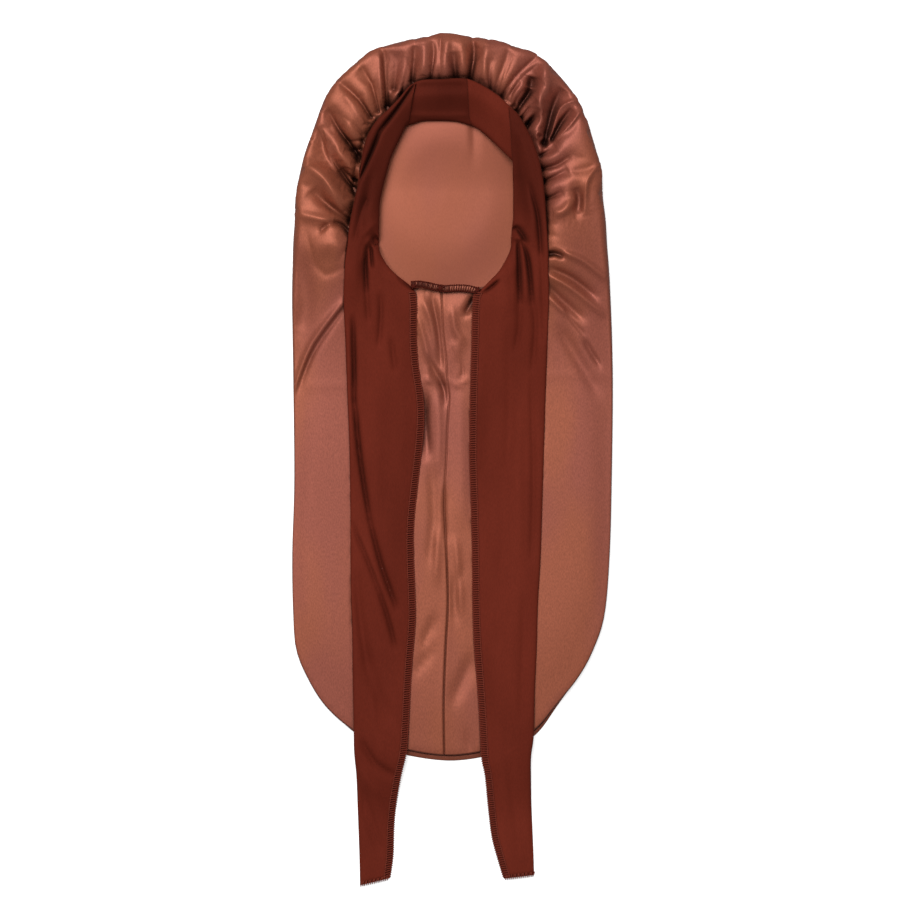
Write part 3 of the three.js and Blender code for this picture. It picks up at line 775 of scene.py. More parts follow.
def settle(start, turn):
    """Lets the folded front settle as cloth, sewn down at the rim and where it meets the back."""
    scene = bpy.context.scene
    mesh = bpy.data.meshes.new("settling")
    points = (start * SIM_SCALE).reshape(-1, 3).tolist()
    mesh.from_pydata(points, [], grid_faces(COLUMNS, ROWS, wrap=True))
    obj = bpy.data.objects.new("settling", mesh)
    scene.collection.objects.link(obj)
    hold, little_spare = hold_shares(start, turn)
    add_shares(obj.vertex_groups.new(name="sewn"), hold)
    add_shares(obj.vertex_groups.new(name="pouch"), little_spare)
    make_cloth(obj)
    for frame in range(1, FRAMES + 1):
        scene.frame_set(frame)
    settled = np.zeros(start.size)
    evaluated = obj.evaluated_get(bpy.context.evaluated_depsgraph_get())
    evaluated.to_mesh().vertices.foreach_get("co", settled)
    evaluated.to_mesh_clear()
    bpy.data.objects.remove(obj)
    scene.frame_set(1)
    return settled.reshape(start.shape) / SIM_SCALE


def blurred(values, times, axis):
    """Values with their neighbours' mixed in, round the columns or along the rows."""
    for _ in range(times):
        if axis == 0:
            before, after = np.roll(values, 1, axis=0), np.roll(values, -1, axis=0)
        else:
            before = np.concatenate([values[:, :1], values[:, :-1]], axis=1)
            after = np.concatenate([values[:, 1:], values[:, -1:]], axis=1)
        values = 0.25 * before + 0.5 * values + 0.25 * after
    return values


def soft_ridges(grid):
    """The settled cloth with its ridges broadened; the valleys between them stay sharp."""
    top = ROWS - TURNED
    high = grid[:, :top, 2]
    smoothed = blurred(blurred(high, RIDGE_BLUR, axis=0), RIDGE_BLUR // 5, axis=1)
    above = np.maximum(high - smoothed, 0.0)
    near_edge = smooth((top - 1 - np.arange(top)) / 6)
    gathered = smooth((grid[:, :top, 1] - 205) / 50)
    grid[:, :top, 2] -= RIDGE_SHARE * above * gathered * near_edge[None, :]
    even = blurred(blurred(grid[:, :, 2], 2, axis=0), 1, axis=1)
    grid[:, 2:top, 2] = even[:, 2:top]
    return grid


def sample(grid, column, row):
    """Points between those of a grid that wraps round, at fractional columns and rows."""
    columns, rows = grid.shape[:2]
    c = np.floor(column).astype(int)
    r = np.clip(np.floor(row).astype(int), 0, rows - 2)
    total = 0.0
    for i, across in zip((-1, 0, 1, 2), spline_weights(column - c)):
        for j, along in zip((-1, 0, 1, 2), spline_weights(row - r)):
            point = grid[(c + i) % columns, np.clip(r + j, 0, rows - 1)]
            total = total + (across * along)[..., None] * point
    return total


# What the finer grid adds, by its height and how wide it is.
GAP_DEPTHS, GAP_WIDTH = (1.5, 6.5), 2.4  # the satin's dip where it comes out from under the band
SEAM_DEPTHS, SEAM_WIDTH = (1.1, 2.0), 0.8  # the seam's groove, deeper towards the foot
SEAM_RIDGE, SEAM_RIDGE_WIDTH = 0.35, 4.0
PACKING_Y, PACKING_RISE, PACKING_WIDTH = 76.0, 0.35, 2.0  # the fold that the bag was packed along
WAVINESS = 0.5

SEAM_STEPS = (0.0, 0.45, 0.9, 1.5, 2.4)  # how far the seam's own columns lie from it
SEAM_BLEND = 40  # columns to each side over which the others make room for them


def seam_columns(grid):
    """Where the finer grid's columns lie, in columns of the simulated one: like those, but close
    together beside the seam, which is column 0."""
    spacing = np.linalg.norm(grid[3, :, :2] - grid[0, :, :2], axis=1) / 3
    last = len(SEAM_STEPS) - 1
    place = np.zeros((COLUMNS, ROWS))
    for c in range(COLUMNS):
        offset = c if c <= COLUMNS / 2 else c - COLUMNS
        k = abs(offset)
        if k <= last:
            from_seam = np.full(ROWS, SEAM_STEPS[k])
        elif k < SEAM_BLEND:
            blend = (k - last) / (SEAM_BLEND - last)
            from_seam = lerp(SEAM_STEPS[-1], SEAM_BLEND * spacing, blend)
        else:
            from_seam = k * spacing
        place[c] = np.sign(offset) * from_seam / spacing
    return np.mod(place, COLUMNS)


def finer_front(grid, lengths, leans):
    """The front with more rows, spaced evenly enough to carry small creases."""
    row, lean = np.zeros((COLUMNS, FINE_ROWS)), np.zeros((COLUMNS, FINE_ROWS))
    for c in range(COLUMNS):
        own, end = lengths[c], lengths[c][-1]
        top = np.interp(0.02, leans[c], own)
        spread = spread_rows(top, end, FINE_ROWS, FINE_TURNED, 0.33, 2)
        even = end * np.linspace(0, 1, FINE_ROWS)
        at = lerp(even, spread, smooth((end - SHORT_FINE_COLUMN) / LONGER))
        row[c] = np.interp(at, own, np.arange(ROWS))
        lean[c] = np.interp(row[c], np.arange(ROWS), leans[c])
    columns = seam_columns(grid)
    low = np.clip(np.floor(row).astype(int), 0, ROWS - 2)
    before = np.take_along_axis(columns, low, axis=1)
    after = np.take_along_axis(columns, low + 1, axis=1)
    step = np.mod(after - before + COLUMNS / 2, COLUMNS) - COLUMNS / 2
    column = np.mod(before + step * (row - low), COLUMNS)
    return sample(grid, column, row), lean


def seam_x(y):
    line = through(SEAM, np.linspace(0, 1, 200))
    return np.interp(y, line[::-1, 1], line[::-1, 0])


def band_gap(x, y):
    """How far the satin dips where it comes out from under the band."""
    angle, radius = polar(x, y)
    beside_band = np.maximum(radius - sewn_radius(angle) - SEWN_INSIDE, 0)
    from_crown = np.abs(turn_from_crown(angle))
    gap = wander(angle, *GAP_DEPTHS, seed=12) * smooth((NAPE_START - from_crown) / 12)
    gap = gap * lerp(0.4, 1, smooth((from_crown - 15) / 20))
    return gap * bell(beside_band / GAP_WIDTH, 1.5)


def seam_rise(x, y):
    """The seam: a narrow groove along a low broad ridge."""
    from_seam = x - seam_x(y)
    depth = lerp(*SEAM_DEPTHS, smooth((-50 - y) / 60))
    return SEAM_RIDGE * bell(from_seam / SEAM_RIDGE_WIDTH) - depth * bell(from_seam / SEAM_WIDTH)


def crease_front(grid, lean):
    """Adds what is too small for the simulation: sharp creases, the packing fold and the seam."""
    x, y = grid[:, :, 0].copy(), grid[:, :, 1].copy()
    middle = grid[0, :, 0]
    along_seam = smooth((NAPE_TOP - y) / 10)
    x = x + (seam_x(y) - middle) * bell((x - middle) / 30) * along_seam
    grid[:, :, 0] = x
    rise = CREASE_DEPTH * fold_field(GATHERS, x, y, gathered=True)
    rise += FOLD_CREASE * fold_field(SATIN_FOLDS, x, y)
    rise += CENTRE_CREASE * fold_field(CENTRE_FOLDS, x, y)
    rise -= band_gap(x, y)
    packing = PACKING_Y + 6 * smooth(x / 60) - 4 * smooth(-x / 100)
    rise += PACKING_RISE * bell((y - packing) / PACKING_WIDTH, 1)
    rise += along_seam * seam_rise(x, y)
    waves = np.sin(x / 23 + y / 61) * np.sin(y / 47 - x / 71)
    rise += WAVINESS * waves * smooth((150 - y) / 60)
    grid[:, :, 2] += rise * (1 - smooth(lean / 1.6))
    return grid


def press_under(points, cover, gap):
    """Lowers points that stand higher than the underside of what lies on them."""
    tree = BVHTree.FromPolygons(cover[0].tolist(), cover[1])
    up = Vector((0, 0, 1))
    for point in points:
        hit = tree.ray_cast(Vector((point[0], point[1], -5.0)), up)[0]
        if hit is not None:
            point[2] = max(1.4, min(point[2], hit.z - gap))


def make_front(material, cover):
    """The bag's front, and the line along which its turned edge meets the back."""
    start, turn, lengths, leans = folded_front()
    front = soft_ridges(settle(start, turn))
    edge = front[:, -1, :].copy()
    points = crease_front(*finer_front(front, lengths, leans)).reshape(-1, 3)
    points[:, 2] = np.maximum(points[:, 2], 1.0)
    press_under(points, cover, gap=0.4)
    faces = grid_faces(COLUMNS, FINE_ROWS, wrap=True)
    return mesh_object("bag_front_satin", points, faces, material), edge


BACK_ROWS, LIP_ROWS = 36, 8
BACK_LOW, FACE_BULGE, CROWN_BULGE = 1.6, 3.5, 5.0  # the back's height, and what is added there
BACK_CREASE = 1.36
LIP_BEAD = 1.8


def back_level(x, y):
    """The height of the bag's back, which bulges a little inside the face and has one crease."""
    in_face = 1 - smooth((np.hypot(x - FACE[0], (y - FACE[1]) * 0.85) - 40) / 45)
    swell = 0.4 * np.sin(x / 31 + y / 57) + 0.3 * np.sin(y / 43 - x / 23 + 1.0)
    crease = BACK_CREASE * bell((x - 21 + 0.05 * (y - 310)) / 4) * smooth((y - 275) / 40)
    return BACK_LOW + FACE_BULGE * in_face + CROWN_BULGE * smooth((y - 258) / 80) + swell - crease


def make_back(material, ring):
    """The back layer: it lies on the table, and its edge shows as a lip round the foot."""
    angle, radius = polar(ring[:, 0], ring[:, 1])
    stride = BACK_ROWS + LIP_ROWS
    grid = np.zeros((COLUMNS, stride, 3))
    for j in range(BACK_ROWS):
        share = 0.02 + 0.98 * j / (BACK_ROWS - 1)
        grid[:, j, :2] = FACE + (ring[:, :2] - FACE) * share
        level = back_level(grid[:, j, 0], grid[:, j, 1])
        grid[:, j, 2] = lerp(level, ring[:, 2], smooth((share - 0.8) / 0.2))
    out = (ring[:, :2] - FACE) / radius[:, None]
    lip = np.maximum(edge_radius(angle) - radius - 0.5, 0.0) * (lip_width(angle) / FOOT_LIP)
    for k in range(LIP_ROWS):
        s = (k + 1) / LIP_ROWS
        grid[:, BACK_ROWS + k, :2] = ring[:, :2] + out * (lip * s)[:, None]
        bead = LIP_BEAD * math.sin(math.pi * s) ** 0.6
        grid[:, BACK_ROWS + k, 2] = lerp(ring[:, 2], 0.5, s) + bead * (lip > 1.0)
    middle = COLUMNS * stride
    points = np.vstack([grid.reshape(-1, 3), [[*FACE, 5.1]]])
    faces = grid_faces(COLUMNS, stride, wrap=True)
    faces += [(c * stride, ((c + 1) % COLUMNS) * stride, middle) for c in range(COLUMNS)]
    return mesh_object("bag_back_satin", points, faces, material)


# The jersey strip: its edges are rounded over this much, and pressed flat where it is overlocked.
ROUND_EDGE, EDGE_THINNEST = 2.2, 0.1414
EDGE_ROLL, EDGE_DROP = 4.5, 1.8  # the strip rolls down towards its edges
OVERLOCK = 6.5
EDGE_STEPS = (0.0, 0.12, 0.35, 0.7, 1.2, 1.9)
ACROSS, USUAL_WIDTH = 48, 50.0  # steps across the strip, and the width that they are spaced for
TIE_SPACING, BAND_SPACING = 2.6, 1.6
TIE_DEEPEST = -9.0


def steps_with_edges(length, inner):
    """Shares of a length, close together at both ends so that the ends can be rounded."""
    near = np.array(EDGE_STEPS) / length
    clear = near[-1] * 1.3
    inner = inner[(inner > clear) & (inner < 1 - clear)]
    return np.concatenate([near, inner, 1 - near[::-1]])


def spaced_rows(knots, y):
    """Shares of a length's run, spaced more closely beside the face than down the ties."""
    run = np.linspace(0, knots[-1], 400)
    spacing = lerp(TIE_SPACING, BAND_SPACING, smooth((np.interp(run, knots, y) - 130) / 30))
    count = np.concatenate([[0], np.cumsum(np.diff(run) / spacing[1:])])
    return np.interp(np.arange(1, count[-1]), count, run) / knots[-1]


class Sheet:
    """One flat length of the jersey strip, as a grid from its outer edge to its inner one."""

    def __init__(self, edges, layer, folded_ends=()):
        inner_line = np.array([row[0] for row in edges], float)
        outer_line = np.array([row[1] for row in edges], float)
        middle = (inner_line + outer_line) / 2
        knots = run_along(middle)
        self.length = knots[-1]
        self.v = steps_with_edges(self.length, spaced_rows(knots, middle[:, 1]))
        self.u = steps_with_edges(USUAL_WIDTH, np.linspace(0, 1, ACROSS))
        row = np.interp(self.v * self.length, knots, np.linspace(0, 1, len(edges)))
        self.inner, self.outer = through(inner_line, row), through(outer_line, row)
        self.width = np.linalg.norm(self.inner - self.outer, axis=1)
        across = (self.inner - self.outer)[:, None, :] * self.u[None, :, None]
        x, y = np.moveaxis(self.outer[:, None, :] + across, 2, 0)
        from_edge = self.from_edges(folded_ends)
        lift = layer(x, y) + self.swell(x, y) - EDGE_DROP * (1 - rounded(from_edge / EDGE_ROLL))
        middle_height = np.maximum(strip_seat(x, y) + lift, 0.1) + JERSEY / 2
        half = JERSEY / 2 * np.maximum(rounded(from_edge / ROUND_EDGE), EDGE_THINNEST)
        self.top = np.dstack([x, y, middle_height + half])
        self.under = np.dstack([x, y, middle_height - half])

    def from_inner(self):
        """How far each grid point is from the inner edge."""
        return (1 - self.u[None, :]) * self.width[:, None]

    def from_edges(self, folded_ends):
        """How far each grid point is from the nearest rounded edge, up to a usual distance."""
        from_end = np.full(self.v.shape, 9.0)
        for at in folded_ends:
            from_end = np.minimum(from_end, np.abs(self.v - at) * self.length)
        from_outer = self.u[None, :] * self.width[:, None]
        return np.minimum(np.minimum(from_outer, self.from_inner()), from_end[:, None])

    def swell(self, x, y):
        """How the strip rises over its width, with its folds and a slight waviness."""
        arch = lerp(2.0, 4.0, smooth((y - 190) / 40)) * np.sqrt(4 * self.u * (1 - self.u))[None, :]
        wavy = 0.25 * np.sin(x / 17 + y / 61) + 0.2 * np.sin(y / 39 - x / 29)
        return arch + wavy + np.maximum(fold_field(TIE_FOLDS, x, y), TIE_DEEPEST)

    def share_at(self, x, y):
        """The share of the length at which the inner edge is nearest to a point."""
        return self.v[np.argmin(np.hypot(self.inner[:, 0] - x, self.inner[:, 1] - y))]

    def overlocked(self, start, end):
        """Presses the inner edge flat where it is overlocked, between two shares of the length."""
        there = smooth((self.v - start) * self.length / 3) * smooth((end - self.v) * self.length / 3)
        pressed = 1.3 * (1 - smooth((self.from_inner() - OVERLOCK + 1.5) / 1.5))
        self.top[:, :, 2] -= pressed * there[:, None]

    def press_end(self, end):
        """Presses a cut end flat where it is overlocked, at share 0 or 1 of the length."""
        from_end = np.abs(self.v - end) * self.length
        pressed = 0.9 * (1 - smooth((from_end - 4.2) / 1.5)) * smooth(from_end / 2)
        lowest = self.under[:, :, 2] + 0.15
        self.top[:, :, 2] = np.maximum(self.top[:, :, 2] - pressed[:, None], lowest)

    def mesh(self):
        """The sheet's points and faces: both sides, and walls that join them round the edge."""
        rows, across = self.top.shape[:2]
        n = rows * across
        points = np.concatenate([self.top.reshape(-1, 3), self.under.reshape(-1, 3)])
        faces = grid_faces(rows, across, wrap=False)
        faces += grid_faces(rows, across, wrap=False, flip=True, first=n)
        sides = [(j, across, rows, turned) for j, turned in ((0, False), (across - 1, True))]
        ends = [(i * across, 1, across, turned) for i, turned in ((0, True), (rows - 1, False))]
        for first, step, count, turned in sides + ends:
            for k in range(count - 1):
                a, b = first + k * step, first + (k + 1) * step
                faces.append((b, a, a + n, b + n) if turned else (a, b, b + n, a + n))
        return points, faces

    def height(self, at_v, at_u):
        """Points of the upper face at shares of its length and width."""
        i = np.clip(np.searchsorted(self.v, at_v) - 1, 0, len(self.v) - 2)
        f = ((at_v - self.v[i]) / (self.v[i + 1] - self.v[i]))[:, None]
        row = lerp(self.top[i], self.top[i + 1], f[:, :, None])
        j = np.clip(np.searchsorted(self.u, at_u) - 1, 0, len(self.u) - 2)
        g = ((at_u - self.u[j]) / (self.u[j + 1] - self.u[j]))[:, None]
        k = np.arange(len(at_v))
        return lerp(row[k, j], row[k, j + 1], g)


def left_layer(x, y):
    """How far the left length lies above the crown's, which goes under its upper end."""
    return 4.2 * smooth((y - 225) / 50)


def crown_layer(x, y):
    """The crown length lies lowest. Its lower edge is rolled, and it sinks in near its upper one."""
    roll = 1.3 * bell((332 - y) / 3.0) * smooth((x + 46) / 8) * smooth((18 - x) / 6)
    hollow = -3.0 * bell((y - 358) / 5) * smooth((x + 40) / 10) * smooth((16 - x) / 10)
    return roll + hollow


def flap_layer(x, y):
    """The short flap lies on the crown length."""
    return 3.2


def right_layer(x, y):
    """The right length's upper end lies on the flap and on the crown length."""
    return 6.2 * smooth((y - 232) / 55)


def join(parts):
    """Several lots of points and faces as one."""
    points, faces, first = [], [], 0
    for part_points, part_faces in parts:
        points.append(part_points)
        faces += [tuple(k + first for k in face) for face in part_faces]
        first += len(part_points)
    return np.concatenate(points), faces


def tubes(paths, radius, sides=6):
    """Round threads along many paths of the same number of points."""
    paths = np.asarray(paths, float)
    count, steps = paths.shape[:2]
    along = unit(np.gradient(paths, axis=1))
    side = unit(np.cross(along, np.array([0.05, 0.03, 1.0])))
    up = np.cross(side, along)
    a = 2 * np.pi * np.arange(sides) / sides
    ring = side[:, :, None] * np.cos(a)[:, None] + up[:, :, None] * np.sin(a)[:, None]
    points = paths[:, :, None] + radius * ring
    k, i, j = np.meshgrid(np.arange(count), np.arange(steps - 1), np.arange(sides), indexing="ij")
    first = (k * steps + i) * sides
    n = (j + 1) % sides
    corners = (first + j, first + n, first + sides + n, first + sides + j)
    quads = np.stack(corners, -1).reshape(-1, 4).tolist()
    for k in range(count):
        start, end = k * steps * sides, ((k + 1) * steps - 1) * sides
        quads.append([start + s for s in reversed(range(sides))])
        quads.append([end + s for s in range(sides)])
    return points.reshape(-1, 3), quads


STITCH_PITCH, END_PITCH = 2.2, 1.9  # between threads over a tie's inner edge and over its end
THREAD, CHAIN_THREAD = 0.5, 0.4  # the radii of those threads and of the ones along the edge
# The threads over an edge: how far each of their points is in from it, and how high above the cloth.
EDGE_BAR = ((-0.3, -1.5), (-0.5, -0.5), (0.3, 0.45), (2.2, 0.85), (4.4, 0.8), (6.0, 0.5), (6.7, -0.3))
END_BAR = ((-0.9, -1.2), (-1.0, -0.1), (0.3, 0.9), (1.8, 1.2), (3.6, 1.1), (5.0, 0.2))


def stitch_bars(sheet, at_v, reach, lean):
    """The threads that cross a sheet's inner edge, at shares of its length."""
    width = np.interp(at_v, sheet.v, sheet.width)
    towards_outer = sheet.outer - sheet.inner
    inward = unit(np.stack([np.interp(at_v, sheet.v, towards_outer[:, k]) for k in (0, 1)], 1))
    forward = np.stack([-inward[:, 1], inward[:, 0]], 1)
    bars = np.zeros((len(at_v), len(EDGE_BAR), 3))
    for s, (across, high) in enumerate(EDGE_BAR):
        across = across * reach / OVERLOCK
        on_cloth = np.maximum(across, 0.3)
        point = sheet.height(at_v, 1 - on_cloth / width)
        bars[:, s, :2] = point[:, :2] + inward * (across - on_cloth)[:, None]
        bars[:, s, :2] += forward * (lean * across / OVERLOCK)[:, None]
        bars[:, s, 2] = np.maximum(point[:, 2] + high, 0.5)
    return tubes(bars, THREAD)


def overlock_stitches(sheet, start, end):
    """Threads over a sheet's inner edge, and the two that run along it."""
    run = run_along(sheet.inner)
    first, last = np.interp([start, end], sheet.v, run)
    at_v = np.interp(np.arange(first, last, STITCH_PITCH), run, sheet.v)
    rng = np.random.default_rng(11)
    lean = rng.uniform(-0.25, 0.25, len(at_v)) + 0.5
    reach = OVERLOCK + rng.uniform(-0.5, 0.5, len(at_v))
    parts = [stitch_bars(sheet, at_v, reach, lean)]
    fine_v = np.interp(np.arange(first, last, STITCH_PITCH / 4), run, sheet.v)
    width = np.interp(fine_v, sheet.v, sheet.width)
    sway = np.sin(np.arange(len(fine_v)) * math.pi / 2)
    for from_edge, high, swing in ((OVERLOCK - 0.3, 0.5, 0.35), (0.4, 0.35, 0.3)):
        line = sheet.height(fine_v, 1 - (from_edge + swing * sway) / width)
        line[:, 2] += high
        parts.append(tubes(line[None], CHAIN_THREAD))
    return join(parts)


def end_stitches(sheet, end):
    """Threads over a tie's cut end, which is at share 0 or 1 of its length."""
    last, within = (-1, -5) if end else (0, 4)
    width = sheet.width[last]
    at_u = np.arange(1.0, width - 0.5, END_PITCH) / width
    outward = unit(sheet.outer[last] - sheet.outer[within])
    bars = np.zeros((len(at_u), len(END_BAR), 3))
    lean = np.random.default_rng(4).uniform(-0.1, 0.35, len(at_u))
    for s, (along, high) in enumerate(END_BAR):
        on_cloth = max(along, 0.3)
        point = sheet.height(np.full(len(at_u), abs(end - on_cloth / sheet.length)), at_u)
        bars[:, s, :2] = point[:, :2] + outward * (on_cloth - along)
        bars[:, s, 0] += lean * along
        bars[:, s, 2] = np.maximum(point[:, 2] + high, 0.5)
    return tubes(bars, THREAD)


def all_stitches(left, right, left_seam_end, right_seam_start):
    """The overlock along both ties' inner edges and over their cut ends."""
    return join(
        [
            overlock_stitches(left, 0.003, left_seam_end),
            overlock_stitches(right, right_seam_start, 0.997),
            end_stitches(left, 0.0),
            end_stitches(right, 1.0),
        ]
    )


# The nape's line from the left tie to the right one, and the knots in its thread.
NAPE = (
    (-40, 169), (-33, 169.4), (-26, 168.6), (-18, 166.8), (-9, 165.2), (-2, 165.4), (7, 165.8),
    (16, 165), (24, 163),
)
NAPE_KNOTS = ((-37.5, 167.5), (-11.5, 165.5), (24, 163.5))
NAPE_STEPS = 90
NAPE_LIFT, NAPE_HALF = 3.4, 3.0  # how high the casing lies over the bag, and half its width
NAPE_PITCHES = (1.5, 2.0)  # between the threads over its left half and over its right one
NAPE_THREAD, NAPE_EDGE_THREAD, NAPE_KNOT_THREAD = 0.42, 0.5, 0.7  # radii
KNOT_REACH, KNOT_TURNS = 3.4, (0.3, 1.2, 2.3)  # how long a knot's threads are, and how they lie
NAPE_ENDS = ((-37, 162), (22, 161))  # where the left and the right tie leave it


def nape_line(count):
    return through(NAPE, np.linspace(0, 1, count))


def nape_height(line):
    return bag_height(line[:, 0], line[:, 1]) + NAPE_LIFT


def make_nape_casing(material):
    """The narrow elastic casing at the nape, slightly gathered."""
    count, around = NAPE_STEPS, 14
    line = nape_line(count)
    a = 2 * np.pi * np.arange(around) / around
    ripple = 0.35 * np.sin(np.arange(count) * 0.9)
    points = np.zeros((count, around, 3))
    for k in range(around):
        across = NAPE_HALF * np.cos(a[k]) + 0.4 * ripple
        points[:, k, :2] = line + left_of(line) * across[:, None]
        points[:, k, 2] = nape_height(line) + (1.1 + 0.5 * ripple) * np.sin(a[k])
    faces = grid_faces(count, around, wrap=False)
    for first in range(0, (count - 1) * around, around):
        n = first + around
        faces.append((n - 1, first, n, n + around - 1))
    faces.append(list(reversed(range(around))))
    faces.append([(count - 1) * around + k for k in range(around)])
    return mesh_object("nape_casing", points, faces, material)


def nape_bars():
    """The threads over the casing, closer together in its left half."""
    line = nape_line(NAPE_STEPS)
    left, right = (int(run_along(line)[-1] / 2 / pitch) for pitch in NAPE_PITCHES)
    at = np.concatenate([np.linspace(0.01, 0.49, left), np.linspace(0.52, 0.99, right)])
    share = np.linspace(0, 1, len(line))
    centre = nape_line(400)[(at * 399).astype(int)]
    side = np.stack([np.interp(at, share, left_of(line)[:, k]) for k in (0, 1)], 1)
    level = np.interp(at, share, nape_height(line))
    bars = np.zeros((len(at), 7, 3))
    for s, t in enumerate(np.linspace(-1, 1, 7)):
        bars[:, s, :2] = centre + side * (t * (NAPE_HALF + 0.3))
        bars[:, s, 0] += 0.5 * t
        bars[:, s, 2] = level + 1.2 * math.sqrt(1 - 0.9 * t * t) + 0.35
    return tubes(bars, NAPE_THREAD)


def nape_edge_thread(side):
    """A thread that sways along the casing's lower edge (side -1) or its upper one (side 1)."""
    line = nape_line(160)
    sway = 0.35 * np.sin(np.arange(len(line)) * 1.4)
    across = side * 0.95 * NAPE_HALF + sway
    plan = line + left_of(line) * across[:, None]
    return tubes(np.column_stack([plan, nape_height(line) + 0.7])[None], NAPE_EDGE_THREAD)


def nape_knots(turn):
    """A thread over each of the nape's knots, at an angle."""
    knots = np.array(NAPE_KNOTS)
    paths = np.zeros((len(knots), 5, 3))
    for s, t in enumerate((-1, -0.6, 0, 0.6, 1)):
        paths[:, s, :2] = knots + KNOT_REACH * t * np.array([math.cos(turn), math.sin(turn)])
        paths[:, s, 2] = nape_height(knots) + 2.6 - 2.2 * t * t
    return tubes(paths, NAPE_KNOT_THREAD)


def make_nape_stitches(material):
    threads = [nape_bars(), nape_edge_thread(-1), nape_edge_thread(1)]
    threads += [nape_knots(turn) for turn in KNOT_TURNS]
    return mesh_object("nape_stitches", *join(threads), material)


# Colours are linear, and lengths in the materials are metres.
SATIN_WARM, SATIN_COOL = np.array([0.34, 0.094, 0.049]), np.array([0.31, 0.084, 0.054])
JERSEY_DARK, JERSEY_LIGHT = (0.118, 0.0155, 0.0075), (0.166, 0.0235, 0.012)
THREAD_COLOUR, NAPE_THREAD_COLOUR = (0.2, 0.035, 0.02), (0.085, 0.011, 0.006)
HEAD_BLEND = (0.19, 0.25)  # the y over which the jersey darkens towards the crown
BUMP_DISTANCE = 0.0004


def new_material(name, values):
    """A material whose shader has the given values, with its node tree and shader."""
    material = bpy.data.materials.new(name)
    material.use_nodes = True
    shader = material.node_tree.nodes["Principled BSDF"]
    for socket, value in values.items():
        shader.inputs[socket].default_value = value
    return material, material.node_tree, shader


def stretched(tree, scale, turn=0.0):
    """Object coordinates, stretched and turned, for a pattern that runs one way."""
    place = tree.nodes.new("ShaderNodeTexCoord")
    mapping = tree.nodes.new("ShaderNodeMapping")
    mapping.inputs["Scale"].default_value = scale
    mapping.inputs["Rotation"].default_value = (0, 0, turn)
    tree.links.new(place.outputs["Object"], mapping.inputs["Vector"])
    return mapping.outputs["Vector"]


def noise(tree, vector, scale, detail):
    node = tree.nodes.new("ShaderNodeTexNoise")
    node.inputs["Scale"].default_value = scale
    node.inputs["Detail"].default_value = detail
    tree.links.new(vector, node.inputs["Vector"])
    return node.outputs["Fac"]


def ramp(tree, factor, low, high, low_at, high_at):
    """A colour that goes from low to high between two values of the factor."""
    node = tree.nodes.new("ShaderNodeValToRGB")
    for stop, colour, at in zip(node.color_ramp.elements, (low, high), (low_at, high_at)):
        stop.position = at
        stop.color = (*colour, 1)
    tree.links.new(factor, node.inputs["Fac"])
    return node.outputs["Color"]


def grey(value):
    return (value, value, value)


def mixed(tree, first, second, factor, blend):
    node = tree.nodes.new("ShaderNodeMix")
    node.data_type = "RGBA"
    node.blend_type = blend
    node.inputs["Factor"].default_value = factor
    tree.links.new(first, node.inputs["A"])
    tree.links.new(second, node.inputs["B"])
    return node.outputs["Result"]


def bumped(tree, height, strength, shader):
    node = tree.nodes.new("ShaderNodeBump")
    node.inputs["Strength"].default_value = strength
    node.inputs["Distance"].default_value = BUMP_DISTANCE
    tree.links.new(height, node.inputs["Height"])
    tree.links.new(node.outputs["Normal"], shader.inputs["Normal"])


def painted_fold_shade(tree, colour, distance, darkest, dark_at, light_at):
    """The colour with painted shade: darker down in the folds and where two pieces of cloth meet,
    read from ambient occlusion.
    """
    hollow = tree.nodes.new("ShaderNodeAmbientOcclusion")
    hollow.samples = 8
    hollow.inputs["Distance"].default_value = distance
    shade = ramp(tree, hollow.outputs["AO"], grey(darkest), grey(1.0), dark_at, light_at)
    return mixed(tree, colour, shade, 1.0, "MULTIPLY")


def satin_material(name, grained, shade_reach):
    """Satin whose grain and two tones show by the given share, with painted shade that darkens it
    down in its folds and within a distance of what covers it."""
    values = {"Roughness": 0.47, "Metallic": 0.35, "Specular IOR Level": 0.25}
    material, tree, shader = new_material(name, values)
    patches = noise(tree, stretched(tree, (1.0, 0.4, 1.0), 0.5), 13.0, 2.5)
    cooler = lerp(SATIN_WARM, SATIN_COOL, min(1.25 * grained, 1.0))
    tone = ramp(tree, patches, cooler, SATIN_WARM, 0.42, 0.58)
    grain = noise(tree, stretched(tree, (1.0, 0.35, 1.0)), 1200.0, 3.0)
    speckle = ramp(tree, grain, grey(0.3), grey(0.7), 0.3, 0.7)
    colour = mixed(tree, tone, speckle, 0.5 * grained, "OVERLAY")
    # Painted shade: the colour is darkened in the folds and under what covers the satin.
    colour = painted_fold_shade(tree, colour, shade_reach, 0.12, 0.33, 0.8)
    tree.links.new(colour, shader.inputs["Base Color"])
    bumped(tree, grain, 0.25 * grained, shader)
    return material


